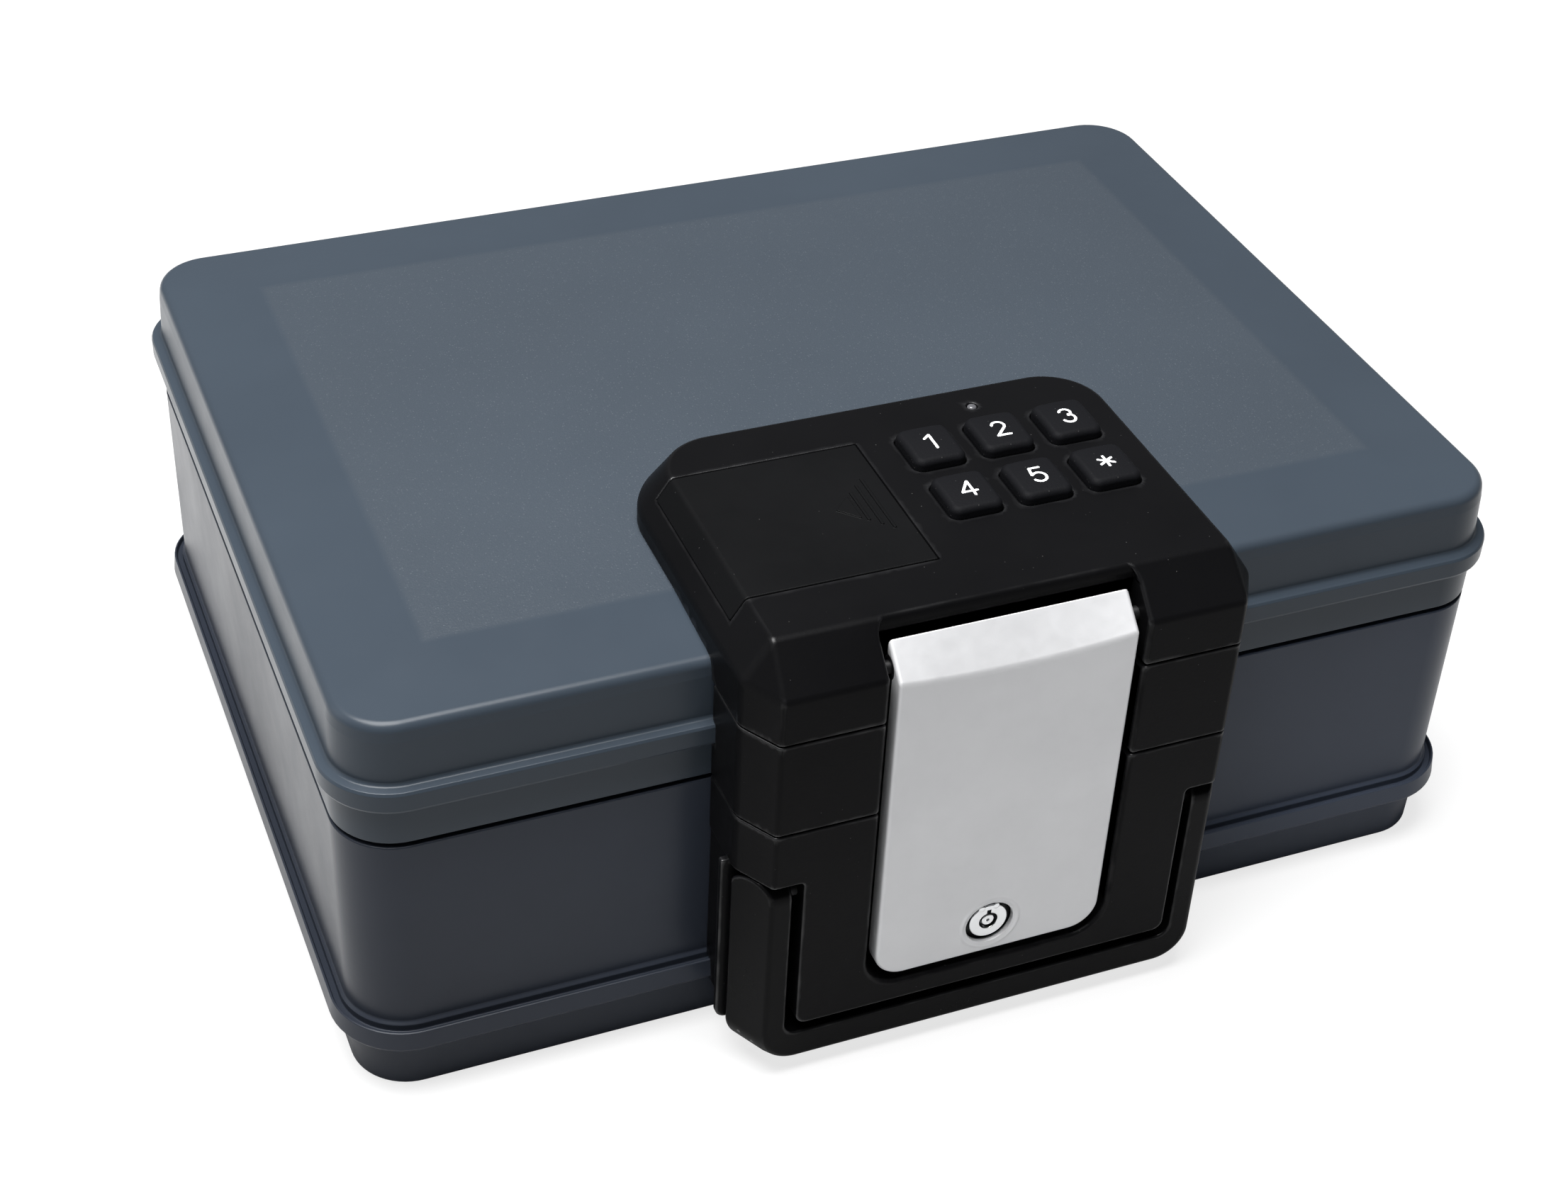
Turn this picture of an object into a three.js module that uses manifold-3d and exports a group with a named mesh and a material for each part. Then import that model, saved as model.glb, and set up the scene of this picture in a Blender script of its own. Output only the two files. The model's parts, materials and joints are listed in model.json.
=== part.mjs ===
// Fireproof document box with a keypad latch, a key lock and a carrying handle.
// Millimetres. +Z is up, +X is to the right and +Y is to the back; the origin is the middle of the footprint,
// with the front hardware and the rear hinges counted in.
import * as THREE from 'three';
import { ConvexGeometry } from 'three/addons/geometries/ConvexGeometry.js';
import { mergeVertices } from 'three/addons/utils/BufferGeometryUtils.js';
import Module from 'manifold-3d';

const wasm = await Module();
wasm.setup();

// ---------------------------------------------------------------- driving dimensions
const PARTING = 98.5;                                       // height where lid and base meet
const WALL = { halfWidth: 185.5, halfDepth: 133, radius: 19 };
const GAP = 0.3;                                            // general assembly clearance
const CORNER_STEPS = 6;                                     // facets in each rounded corner
const FIT = 0.1;                                            // radial running clearance
const RIM = 98.2;                                           // top of the base rim
const LID_RIM = 98.8;                                       // underside of the lid inside its lip
const CAVITY_TOP = { halfWidth: 151.5, halfDepth: 99, radius: 14 };
const CAVITY_FLOOR = 34;
const LID_CAVITY_CEILING = 109.5;
const LINER_THICKNESS = 2.2;
const FLANGE = { halfWidth: 180.1, halfDepth: 127.6, radius: 13.6 };
const SEAL = { halfWidth: 169, halfDepth: 116.5, radius: 14 };   // centre line of tongue and gasket
const SEAL_TONGUE_HALF = 1.5;
const SEAL_GROOVE_HALF = 4.5;
const SEAL_TONGUE_TOP = 102.5;
const SEAL_GROOVE_TOP = 106.3;

const FOOT = { x: 150, y: 98, radius: 9, height: 2.6 };
const SHELL_BOTTOM = 0.6;

const HINGE = {
  x: 95, y: 139.5, z: 97.3, radius: 4.4, pin: 2, halfWidth: 25, lidHalf: 8.6, plateY: 133.4, plateT: 2.6,
};
const BASE_LEAF = { low: 68, high: 90.4, screwX: 17, screwZ: 76 };
const LID_LEAF = { low: 103, high: 110.8, screwX: 18, screwZ: 106.9 };
const SCREW = { shank: 1.6, head: 2.9, rise: 1.7 };

// Front hardware has a frame of its own: y runs back from its front face, z runs up from the parting line.
const FRONT = 32.3;                                         // how far the front face stands ahead of the wall
const BLOCK = { half: 71.3, sideHalf: 78.9, chamfer: 12.6 };
const SEAM = 33;                                            // joint between lid block and keypad housing
const HOUSING = { top: 61, shoulder: 48.4, topHalf: 70.3, back: 118.8, radius: 26, skin: 2.5 };
const SLOPE = HOUSING.top - HOUSING.shoulder;               // height of the housing's sloped border
const SLOPE_RUN = BLOCK.sideHalf - HOUSING.topHalf;
const CHANNEL = { half: 39.7, depth: 12, bottom: -70, radius: 11, wall: 2.5 };
const POCKET = { depth: 18.2, low: 34, high: 56 };          // room behind the latch pivot
const GROOVE = { half: 10.2, depth: 24 };                   // room behind the latch for lock and cam
const PANEL = { half: 61.7, bottom: -77.6, radius: 3.5, armTop: -20 };
const BACKING = {
  half: 81.5, coreHalf: 78.4, top: -18.5, bottom: -83, coreBottom: -80, radius: 3.5, front: 14.9, lip: 2.2,
};
const HANDLE = {
  front: 0.3, back: 14.3, innerHalf: 64.8, innerBottom: -81.6, bottom: -91.9, radius: 6, innerRadius: 4,
};
const HANDLE_PIVOT = { y: 7.3, z: -27.6, pin: 2.5, inner: 57, outer: 71 };
const LATCH = {
  half: 37, bottom: -67, radius: 9.5, bevelLow: 45.8, bevelY: 9.8, top: 55, skin: 2, rim: 5.8, back: 10.3,
};
const LATCH_PIVOT = { y: 8.2, z: 46.5, pin: 2, boss: 4.3, half: 45 };
const LOCK = {
  z: -55.3, hole: 7.15, barrel: 5.7, bore: 2.95, post: 2.05, shaft: 2.85, face: 0.9, back: 14.6,
};
const NUT = { radius: 9, thickness: 2.9 };
const CAM = { front: 16.4, back: 18.4, half: 4.5, reach: 15.5, drive: 1.6, screw: 3.4 };
const STRIKE = { half: 22, low: -68, high: -39, thickness: 2.1, slotLow: -66 };
const BLOCKER = { y: 8.2, z: 37, radius: 1.2, tip: 40.1 };  // solenoid plunger that blocks the latch
const SOLENOID = { left: 49, right: 66, front: 3.8, back: 15.2, low: 34, high: 45, plungerEnd: 58 };
const KEY = {
  x: [7.7, 30.2, 52.7], y: [82, 56.5], halfX: 8, halfY: 8.9, radius: 3, low: 57.4, top: 64.6, gap: 0.35,
};
const KEY_MAT = { x: [-3, 63.5], y: [45, 94], z: [54.3, 55.6] };
const BOARD = { x: [-6, 65], y: [40, 104], z: [52.3, 53.9] };
const COVER = { right: -12.3, front: 32.1, back: 92.1, thickness: 2, low: 54.3 };
const GRIP = {                                              // raised arrow and ribs on the cover
  rise: 0.45, arrowTip: -30.8, arrowBase: -25.2, arrowHalf: 5.8,
  ribs: [[-23.5, 6.8], [-20.6, 9.8], [-17.9, 12.4]],
};
const BAY = { left: -66.3, right: -15, front: 33, back: 91.2, floor: 46.4, wall: 1.5 };
const CELL = { radius: 5.2, length: 43.3, nub: 1.9, nubLength: 1.1, pitch: 13.6 };
const LED = { x: 30, y: 100.4, radius: 1.5, length: 6.8, proud: 0.4 };

// ---------------------------------------------------------------- materials
const plastic = (color, roughness) => new THREE.MeshStandardMaterial({ color, roughness, metalness: 0 });
const metal = (color, roughness) => new THREE.MeshStandardMaterial({ color, roughness, metalness: 1 });
const materials = {
  shell: plastic(0x4a5562, 0.45),
  black: plastic(0x17181a, 0.5),
  liner: plastic(0x2b2e33, 0.6),
  insulation: plastic(0xc9c4b8, 0.95),
  rubber: plastic(0x16171b, 0.85),
  silver: metal(0xc3c5c8, 0.38),
  steel: metal(0xb4b7bb, 0.3),
  chrome: metal(0xe4e6e8, 0.12),
  board: plastic(0x1f5a3a, 0.5),
  cell: plastic(0x4d5a66, 0.4),
  lens: plastic(0xdfe4e8, 0.1),
};

// ---------------------------------------------------------------- solids
function solidOf(geometry) {
  geometry.deleteAttribute('normal');
  geometry.deleteAttribute('uv');
  const merged = mergeVertices(geometry, 1e-4);
  return new wasm.Manifold(new wasm.Mesh({
    numProp: 3,
    vertProperties: new Float32Array(merged.attributes.position.array),
    triVerts: new Uint32Array(merged.index.array),
  }));
}

function geometryOf(solid) {
  const mesh = solid.getMesh();
  const geometry = new THREE.BufferGeometry();
  geometry.setAttribute('position', new THREE.BufferAttribute(mesh.vertProperties, mesh.numProp));
  geometry.setIndex(new THREE.BufferAttribute(mesh.triVerts, 1));
  return geometry;
}

function union(...solids) {
  return solids.reduce((sum, solid) => sum.add(solid));
}

function cut(solid, ...tools) {
  return tools.reduce((rest, tool) => rest.subtract(tool), solid);
}

function common(...solids) {
  return solids.reduce((rest, solid) => rest.intersect(solid));
}

function box([x0, x1], [y0, y1], [z0, z1]) {
  const geometry = new THREE.BoxGeometry(x1 - x0, y1 - y0, z1 - z0);
  geometry.translate((x0 + x1) / 2, (y0 + y1) / 2, (z0 + z1) / 2);
  return solidOf(geometry);
}

const X = new THREE.Vector3(1, 0, 0);
const Y = new THREE.Vector3(0, 1, 0);
const Z = new THREE.Vector3(0, 0, 1);

function extrude(outline, depth, basis, shift) {
  const points = outline instanceof THREE.Shape ? null : outline.map((p) => new THREE.Vector2(...p));
  const shape = points ? new THREE.Shape(points) : outline;
  const options = { depth, bevelEnabled: false, curveSegments: CORNER_STEPS };
  const geometry = new THREE.ExtrudeGeometry(shape, options);
  geometry.applyMatrix4(new THREE.Matrix4().makeBasis(...basis));
  geometry.translate(...shift);
  return solidOf(geometry);
}

// outline in (y, z), swept along x
const sweepX = (outline, [x0, x1]) => extrude(outline, x1 - x0, [Y, Z, X], [x0, 0, 0]);
// outline in (x, z), swept along y
const sweepY = (outline, [y0, y1]) => extrude(outline, y1 - y0, [X, Z, Y.clone().negate()], [0, y1, 0]);
// outline in (x, y), swept along z
const sweepZ = (outline, [z0, z1]) => extrude(outline, z1 - z0, [X, Y, Z], [0, 0, z0]);

function rodX(radius, [x0, x1], y, z, segments = 24) {
  const geometry = new THREE.CylinderGeometry(radius, radius, x1 - x0, segments);
  geometry.rotateZ(-Math.PI / 2);
  geometry.translate((x0 + x1) / 2, y, z);
  return solidOf(geometry);
}

function rodY(radius, [y0, y1], x, z, segments = 24) {
  const geometry = new THREE.CylinderGeometry(radius, radius, y1 - y0, segments);
  geometry.translate(x, (y0 + y1) / 2, z);
  return solidOf(geometry);
}

function rodZ(radius, [z0, z1], x, y, segments = 24) {
  const geometry = new THREE.CylinderGeometry(radius, radius, z1 - z0, segments);
  geometry.rotateX(Math.PI / 2);
  geometry.translate(x, y, (z0 + z1) / 2);
  return solidOf(geometry);
}

// turned piece whose [radius, distance] outline starts and ends on its axis, which runs along +y
function turned(outline, segments = 24) {
  return new THREE.LatheGeometry(outline.map((p) => new THREE.Vector2(...p)), segments);
}

// points of a rounded rectangle, anticlockwise from above
function ring({ halfWidth, halfDepth, radius }, z) {
  const points = [];
  for (let corner = 0; corner < 4; corner += 1) {
    const cx = (corner === 0 || corner === 3 ? 1 : -1) * (halfWidth - radius);
    const cy = (corner < 2 ? 1 : -1) * (halfDepth - radius);
    for (let step = 0; step <= CORNER_STEPS; step += 1) {
      const angle = (corner + step / CORNER_STEPS) * Math.PI / 2;
      points.push(new THREE.Vector3(cx + radius * Math.cos(angle), cy + radius * Math.sin(angle), z));
    }
  }
  return points;
}

function grown(size, by) {
  return {
    halfWidth: size.halfWidth + by,
    halfDepth: size.halfDepth + by,
    radius: Math.max(size.radius + by, 3),
  };
}

// skin through a list of rings, with flat caps on the first and last, or joined end to end
function loft(rings, closed = false) {
  const count = rings[0].length;
  const geometry = new THREE.BufferGeometry().setFromPoints(rings.flat());
  const index = [];
  const bands = closed ? rings.length : rings.length - 1;
  for (let band = 0; band < bands; band += 1) {
    const low = band * count;
    const high = ((band + 1) % rings.length) * count;
    for (let i = 0; i < count; i += 1) {
      const next = (i + 1) % count;
      index.push(low + i, low + next, high + next, low + i, high + next, high + i);
    }
  }
  if (!closed) {
    const last = (rings.length - 1) * count;
    for (let i = 1; i < count - 1; i += 1) {
      index.push(0, i + 1, i, last, last + i, last + i + 1);
    }
  }
  geometry.setIndex(index);
  return solidOf(geometry);
}

const wallRings = (profile) => profile.map(([offset, z]) => ring(grown(WALL, offset), z));

// ---------------------------------------------------------------- scene graph
const group = new THREE.Group();
group.position.y = (WALL.halfDepth + FRONT - HINGE.y - HINGE.radius) / 2;
const front = new THREE.Group();
front.position.set(0, -WALL.halfDepth - FRONT, PARTING);
group.add(front);

function place(name, shape, material, parent = group) {
  const geometry = shape instanceof THREE.BufferGeometry ? shape : geometryOf(shape);
  const mesh = new THREE.Mesh(geometry, materials[material]);
  mesh.name = name;
  parent.add(mesh);
  return mesh;
}

const sides = [['left', -1], ['right', 1]];
// range from a to b on the right, or its mirror image on the left
const mirrored = (sign, a, b) => [sign * a, sign * b].toSorted((low, high) => low - high);

// ---------------------------------------------------------------- outer shells
// Each outline is a list of [offset from the wall rectangle, height].
const baseOutside = [
  [-2.2, SHELL_BOTTOM], [-1.2, SHELL_BOTTOM + 1], [-0.9, 9], [-0.6, 18.6],
  [3.8, 19.4], [4.6, 20.6], [3.7, 26.2], [3, 26.9], [0, 27], [0, 96.4],
];
const lidOutside = [
  [0, 98.1], [0, 111.2], [2.5, 111.5], [2.8, 112.3], [2.8, 117.6], [2.3, 118.4], [-0.6, 118.9],
  [-1.4, 134.3], [-2.1, 136.7], [-3.7, 138.2], [-6, 138.8], [-33, 140.8],
];

function baseShell() {
  const inside = [
    [-2.6, 96.4], [-2.6, RIM], [-5, RIM], [-5, 88], [-3.2, 86], [-3.2, 9], [-5.5, 5.6], [-10, 4.6],
  ];
  const feet = [];
  for (const x of [-FOOT.x, FOOT.x]) {
    for (const y of [-FOOT.y, FOOT.y]) {
      feet.push(rodZ(FOOT.radius + GAP, [0, FOOT.height + GAP], x, y));
    }
  }
  return cut(loft(wallRings([...baseOutside, ...inside])), ...feet);
}

function lidShell() {
  const inside = [[-33, 138], [-8.5, 135.9], [-5, 133.5], [-5, LID_RIM], [-2.2, LID_RIM], [-2.2, 98.1]];
  return loft(wallRings([...inside, ...lidOutside]));
}

// solid outer forms, grown by a clearance, in the front hardware's frame
function clearanceForm(profile, clearance) {
  const lowest = profile[0][1];
  const highest = profile.at(-1)[1];
  const grownProfile = profile.map(([offset, z]) => {
    const lift = z === highest || offset < -5 ? clearance : 0;
    return [offset + clearance, z === lowest ? z - clearance : z + lift];
  });
  return loft(wallRings(grownProfile)).translate([0, WALL.halfDepth + FRONT, -PARTING]);
}

place('base_outer_shell', baseShell(), 'shell');
place('lid_outer_shell', lidShell(), 'shell');

// ---------------------------------------------------------------- insulation, liners and seal
const liner = (inset, z) => ring(grown(CAVITY_TOP, inset), z);
const baseWall = [[-5, CAVITY_FLOOR], [-3.2, CAVITY_FLOOR + 2.6], [0, RIM]];     // inset and height

function baseLiner() {
  const outside = [
    liner(-3.4 + LINER_THICKNESS - 1.6, CAVITY_FLOOR - LINER_THICKNESS),
    liner(-3.2 + LINER_THICKNESS, CAVITY_FLOOR + 1.4),
    liner(LINER_THICKNESS, RIM - LINER_THICKNESS),
  ];
  const flange = [ring(FLANGE, RIM - LINER_THICKNESS), ring(FLANGE, RIM)];
  const tongue = [
    ring(grown(SEAL, SEAL_TONGUE_HALF), RIM), ring(grown(SEAL, SEAL_TONGUE_HALF), SEAL_TONGUE_TOP),
    ring(grown(SEAL, -SEAL_TONGUE_HALF), SEAL_TONGUE_TOP), ring(grown(SEAL, -SEAL_TONGUE_HALF), RIM),
  ];
  const inside = baseWall.toReversed().map(([inset, z]) => liner(inset, z));
  return loft([...outside, ...flange, ...tongue, ...inside]);
}

function baseInsulation() {
  const top = RIM - LINER_THICKNESS - GAP;
  const clear = LINER_THICKNESS + GAP;
  return loft([
    ring(grown(WALL, -12), 4.9), ring(grown(WALL, -5.4), 10), ring(grown(WALL, -5.4), top),
    liner(clear, top), liner(-3.2 + clear, CAVITY_FLOOR + 1.2),
    liner(-3.4 + clear - 1.6, CAVITY_FLOOR - clear),
  ]);
}

const LID_LINER_BACK = SEAL_GROOVE_TOP + LINER_THICKNESS;

function lidLiner() {
  const ceiling = [liner(-3.5, LID_CAVITY_CEILING), liner(-0.5, LID_RIM)];
  const groove = [
    ring(grown(SEAL, -SEAL_GROOVE_HALF), LID_RIM), ring(grown(SEAL, -SEAL_GROOVE_HALF), SEAL_GROOVE_TOP),
    ring(grown(SEAL, SEAL_GROOVE_HALF), SEAL_GROOVE_TOP), ring(grown(SEAL, SEAL_GROOVE_HALF), LID_RIM),
  ];
  const flange = [ring(FLANGE, LID_RIM), ring(FLANGE, LID_RIM + LINER_THICKNESS)];
  const step = grown(SEAL, SEAL_GROOVE_HALF + LINER_THICKNESS);
  const back = [
    ring(step, LID_RIM + LINER_THICKNESS), ring(step, LID_LINER_BACK),
    liner(LINER_THICKNESS, LID_LINER_BACK),
    liner(-3.5 + LINER_THICKNESS, LID_CAVITY_CEILING + LINER_THICKNESS),
  ];
  return loft([...ceiling, ...groove, ...flange, ...back]);
}

function lidInsulation() {
  const step = grown(SEAL, SEAL_GROOVE_HALF + LINER_THICKNESS + GAP);
  const foot = LID_RIM + LINER_THICKNESS + GAP;
  return loft([
    liner(-3.5 + LINER_THICKNESS + GAP, LID_CAVITY_CEILING + LINER_THICKNESS + GAP),
    liner(LINER_THICKNESS + GAP, LID_LINER_BACK + GAP),
    ring(step, LID_LINER_BACK + GAP), ring(step, foot),
    ring(grown(WALL, -5.4), foot), ring(grown(WALL, -5.4), 132.9), ring(grown(WALL, -9), 135.3),
    ring(grown(WALL, -33), 137.6),
  ]);
}

function lidGasket() {
  const low = SEAL_TONGUE_TOP + GAP;
  const high = SEAL_GROOVE_TOP - GAP;
  const half = SEAL_GROOVE_HALF - GAP;
  return loft([
    ring(grown(SEAL, -half), high), ring(grown(SEAL, -half), low + 0.8), ring(grown(SEAL, 1 - half), low),
    ring(grown(SEAL, half - 1), low), ring(grown(SEAL, half), low + 0.8), ring(grown(SEAL, half), high),
  ], true);
}

place('base_insulation', baseInsulation(), 'insulation');
place('base_liner', baseLiner(), 'liner');
place('lid_insulation', lidInsulation(), 'insulation');
place('lid_liner', lidLiner(), 'liner');
place('lid_gasket', lidGasket(), 'rubber');

// ---------------------------------------------------------------- feet
const footGeometry = turned([
  [0, 0], [FOOT.radius - 1, 0], [FOOT.radius, 1], [FOOT.radius, FOOT.height], [0, FOOT.height],
]);
footGeometry.rotateX(Math.PI / 2);
let footNumber = 1;
for (const y of [-FOOT.y, FOOT.y]) {
  for (const x of [-FOOT.x, FOOT.x]) {
    place(`foot_${footNumber}`, footGeometry, 'rubber').position.set(x, y, 0);
    footNumber += 1;
  }
}

// ---------------------------------------------------------------- rear hinges
function arc(cy, cz, radius, fromDeg, toDeg, steps = 12) {
  return Array.from({ length: steps + 1 }, (_, i) => {
    const angle = THREE.MathUtils.degToRad(fromDeg + (toDeg - fromDeg) * i / steps);
    return [cy + radius * Math.cos(angle), cz + radius * Math.sin(angle)];
  });
}

const plateBack = HINGE.plateY + HINGE.plateT;
const hingeBore = rodX(HINGE.pin + FIT, [-40, 40], HINGE.y, HINGE.z);

function screwHoles(leaf) {
  return [-leaf.screwX, leaf.screwX].map((x) => rodY(SCREW.shank + GAP, [130, 140], x, leaf.screwZ, 16));
}

function hingePlate(leaf) {
  return box([-HINGE.halfWidth, HINGE.halfWidth], [HINGE.plateY, plateBack], [leaf.low, leaf.high]);
}

function hingeBase() {
  const knuckle = [
    [HINGE.plateY, 84], [plateBack, 84],
    ...arc(HINGE.y, HINGE.z, HINGE.radius, -25, 180), [HINGE.plateY, 95.3],
  ];
  const knuckles = sides.map(([, sign]) => (
    sweepX(knuckle, mirrored(sign, HINGE.lidHalf + 0.5, HINGE.halfWidth))));
  return cut(union(hingePlate(BASE_LEAF), ...knuckles), hingeBore, ...screwHoles(BASE_LEAF));
}

function hingeLid() {
  const knuckle = [
    [HINGE.plateY, LID_LEAF.high], [HINGE.plateY, 99.6],
    ...arc(HINGE.y, HINGE.z, HINGE.radius, 180, 400, 14), [plateBack, 105], [plateBack, LID_LEAF.high],
  ];
  const solid = union(hingePlate(LID_LEAF), sweepX(knuckle, [-HINGE.lidHalf, HINGE.lidHalf]));
  return cut(solid, hingeBore, ...screwHoles(LID_LEAF));
}

const hingePin = rodX(HINGE.pin, [-HINGE.halfWidth - 0.8, HINGE.halfWidth + 0.8], HINGE.y, HINGE.z);
const screwHead = turned([
  [0, 0], [SCREW.shank, 0], [SCREW.shank, HINGE.plateT], [SCREW.head, HINGE.plateT],
  [SCREW.head, HINGE.plateT + 0.8], [SCREW.head * 0.6, HINGE.plateT + SCREW.rise],
  [0, HINGE.plateT + SCREW.rise],
], 14);

for (const [side, sign] of sides) {
  const at = (mesh) => mesh.position.setX(sign * HINGE.x);
  at(place(`hinge_base_${side}`, hingeBase(), 'black'));
  at(place(`hinge_lid_${side}`, hingeLid(), 'black'));
  at(place(`hinge_pin_${side}`, hingePin, 'steel'));
  for (const [part, leaf] of [['base', BASE_LEAF], ['lid', LID_LEAF]]) {
    for (const [end, endSign] of [['a', -1], ['b', 1]]) {
      const screw = place(`hinge_${part}_screw_${side}_${end}`, screwHead, 'steel');
      screw.position.set(sign * HINGE.x + endSign * leaf.screwX, HINGE.plateY + 0.15, leaf.screwZ);
    }
  }
}

// ---------------------------------------------------------------- front blocks
const blockPlan = (back) => [
  [-BLOCK.half, 0], [BLOCK.half, 0], [BLOCK.sideHalf, BLOCK.chamfer], [BLOCK.sideHalf, back],
  [-BLOCK.sideHalf, back], [-BLOCK.sideHalf, BLOCK.chamfer],
];

// rectangle in (x, z) whose two lower corners are rounded
function bucket(half, bottom, top, radius) {
  const shape = new THREE.Shape();
  shape.moveTo(half, top);
  shape.lineTo(-half, top);
  shape.lineTo(-half, bottom + radius);
  shape.absarc(-half + radius, bottom + radius, radius, Math.PI, 1.5 * Math.PI);
  shape.lineTo(half - radius, bottom);
  shape.absarc(half - radius, bottom + radius, radius, 1.5 * Math.PI, 2 * Math.PI);
  shape.closePath();
  return shape;
}

const channel = sweepY(bucket(CHANNEL.half, CHANNEL.bottom, 80, CHANNEL.radius), [-5, CHANNEL.depth]);
const BACK = FRONT - GAP;                                  // where the blocks meet the walls

const HOLLOW = { inner: 43.5, outer: 66, panelOuter: 56, front: 3, skin: 3.5 };   // open at the back

function latchLidBlock() {
  const solid = sweepZ(blockPlan(BACK), [GAP, SEAM - GAP]);
  const hollows = sides.map(([, sign]) => box(
    mirrored(sign, HOLLOW.inner, HOLLOW.outer), [HOLLOW.front, BACK + 1], [HOLLOW.skin, SEAM - HOLLOW.skin]));
  return cut(solid, channel, clearanceForm(lidOutside, GAP), ...hollows);
}

// quarter circle in which the lock cam turns, open towards the groove
function camRoom() {
  const depth = [CAM.front - 0.8, GROOVE.depth];
  const low = LOCK.z - CAM.half - 1.5;
  const disc = rodY(CAM.reach + 1.8, depth, 0, LOCK.z, 48);
  return common(disc, box([0, CAM.reach + 2], depth, [low, LOCK.z + CAM.reach + 2]));
}

function latchBaseBlock() {
  const { half, coreHalf, top, bottom, coreBottom, radius, lip } = BACKING;
  const upper = sweepZ(blockPlan(BACK), [PANEL.armTop, -GAP]);
  const panel = sweepY(bucket(PANEL.half, PANEL.bottom, PANEL.armTop + 1, PANEL.radius), [0, BACK]);
  const plate = sweepY(bucket(half, bottom, top, radius), [BACKING.front, BACKING.front + lip]);
  const core = box([-coreHalf, coreHalf], [BACKING.front, BACK], [coreBottom, top]);
  const groove = box(
    [-GROOVE.half, GROOVE.half], [CHANNEL.depth - 1, GROOVE.depth], [CHANNEL.bottom - 2, 5]);
  const strikeSeat = box(
    [-STRIKE.half - 0.4, STRIKE.half + 0.4], [CHANNEL.depth - 1, CHANNEL.depth + STRIKE.thickness + 0.5],
    [STRIKE.low - 0.4, STRIKE.high + 0.4]);
  const hollows = sides.map(([, sign]) => box(
    mirrored(sign, HOLLOW.inner, HOLLOW.panelOuter), [HOLLOW.front, BACK + 1],
    [PANEL.bottom + HOLLOW.skin, -HOLLOW.skin]));
  const pinHoles = sides.map(([, sign]) => rodX(
    HANDLE_PIVOT.pin + 0.02, mirrored(sign, HANDLE_PIVOT.inner - 2, PANEL.half + 5),
    HANDLE_PIVOT.y, HANDLE_PIVOT.z));
  return cut(
    union(upper, panel, plate, core), channel, groove, camRoom(), strikeSeat,
    clearanceForm(baseOutside, GAP), ...hollows, ...pinHoles);
}

function strikePlate() {
  const front = CHANNEL.depth + 0.2;
  const plate = box(
    [-STRIKE.half, STRIKE.half], [front, front + STRIKE.thickness], [STRIKE.low, STRIKE.high]);
  const slot = box([-GROOVE.half + 0.8, GROOVE.half - 0.8], [0, 20], [STRIKE.slotLow, 0]);
  return cut(plate, slot);
}

place('latch_lid_block', latchLidBlock(), 'black', front);
place('latch_base_block', latchBaseBlock(), 'black', front);
place('strike_plate', strikePlate(), 'steel', front);

// ---------------------------------------------------------------- keypad housing
// Convex form with sloped borders; inset moves every face inward.
function housingForm(inset, low) {
  const points = [];
  const add = (x, y, z) => points.push(new THREE.Vector3(x, y, z), new THREE.Vector3(-x, y, z));
  const mid = { half: BLOCK.sideHalf - inset, back: HOUSING.back - inset, z: HOUSING.shoulder - inset / 2 };
  const top = {
    half: HOUSING.topHalf - inset / 2, back: HOUSING.back - SLOPE_RUN - inset / 2, z: HOUSING.top - inset,
  };
  for (const z of [low, mid.z]) {
    add(BLOCK.half - inset / 2, inset, z);
    add(mid.half, BLOCK.chamfer + inset / 2, z);
  }
  add(top.half, SLOPE + inset / 2, top.z);
  for (let step = 0; step <= CORNER_STEPS; step += 1) {
    const angle = step / CORNER_STEPS * Math.PI / 2;
    const reach = { mid: HOUSING.radius - inset, top: HOUSING.radius - SLOPE_RUN - inset / 2 };
    for (const z of [low, mid.z]) {
      add(mid.half - reach.mid * (1 - Math.cos(angle)), mid.back - reach.mid * (1 - Math.sin(angle)), z);
    }
    add(top.half - reach.top * (1 - Math.cos(angle)), top.back - reach.top * (1 - Math.sin(angle)), top.z);
  }
  return solidOf(new ConvexGeometry(points));
}

// outline in (x, z) of the battery cover, which bends down over the left slope
function coverOutline(grow) {
  const slope = SLOPE_RUN / SLOPE;
  const low = COVER.low - grow;
  const under = HOUSING.top - COVER.thickness - grow;
  const bend = -HOUSING.topHalf + 0.8 - grow;
  return [
    [COVER.right + grow, HOUSING.top + 2 * grow],
    [-HOUSING.topHalf + 2 * grow * slope - grow * 2, HOUSING.top + 2 * grow],
    [-HOUSING.topHalf - (HOUSING.top - low) * slope - 2 * grow, low],
    [bend - (under - low) * slope + 2.2 * grow, low], [bend + 2 * grow, under], [COVER.right + grow, under],
  ];
}

function keyOutline(x, y, grow) {
  return ring({ halfWidth: KEY.halfX + grow, halfDepth: KEY.halfY + grow, radius: KEY.radius + grow }, 0)
    .map((p) => [p.x + x, p.y + y]);
}

const keyPlaces = KEY.y.flatMap((y) => KEY.x.map((x) => [x, y]));
const bayBlock = [BAY.left - BAY.wall, BAY.right + BAY.wall];

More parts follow.
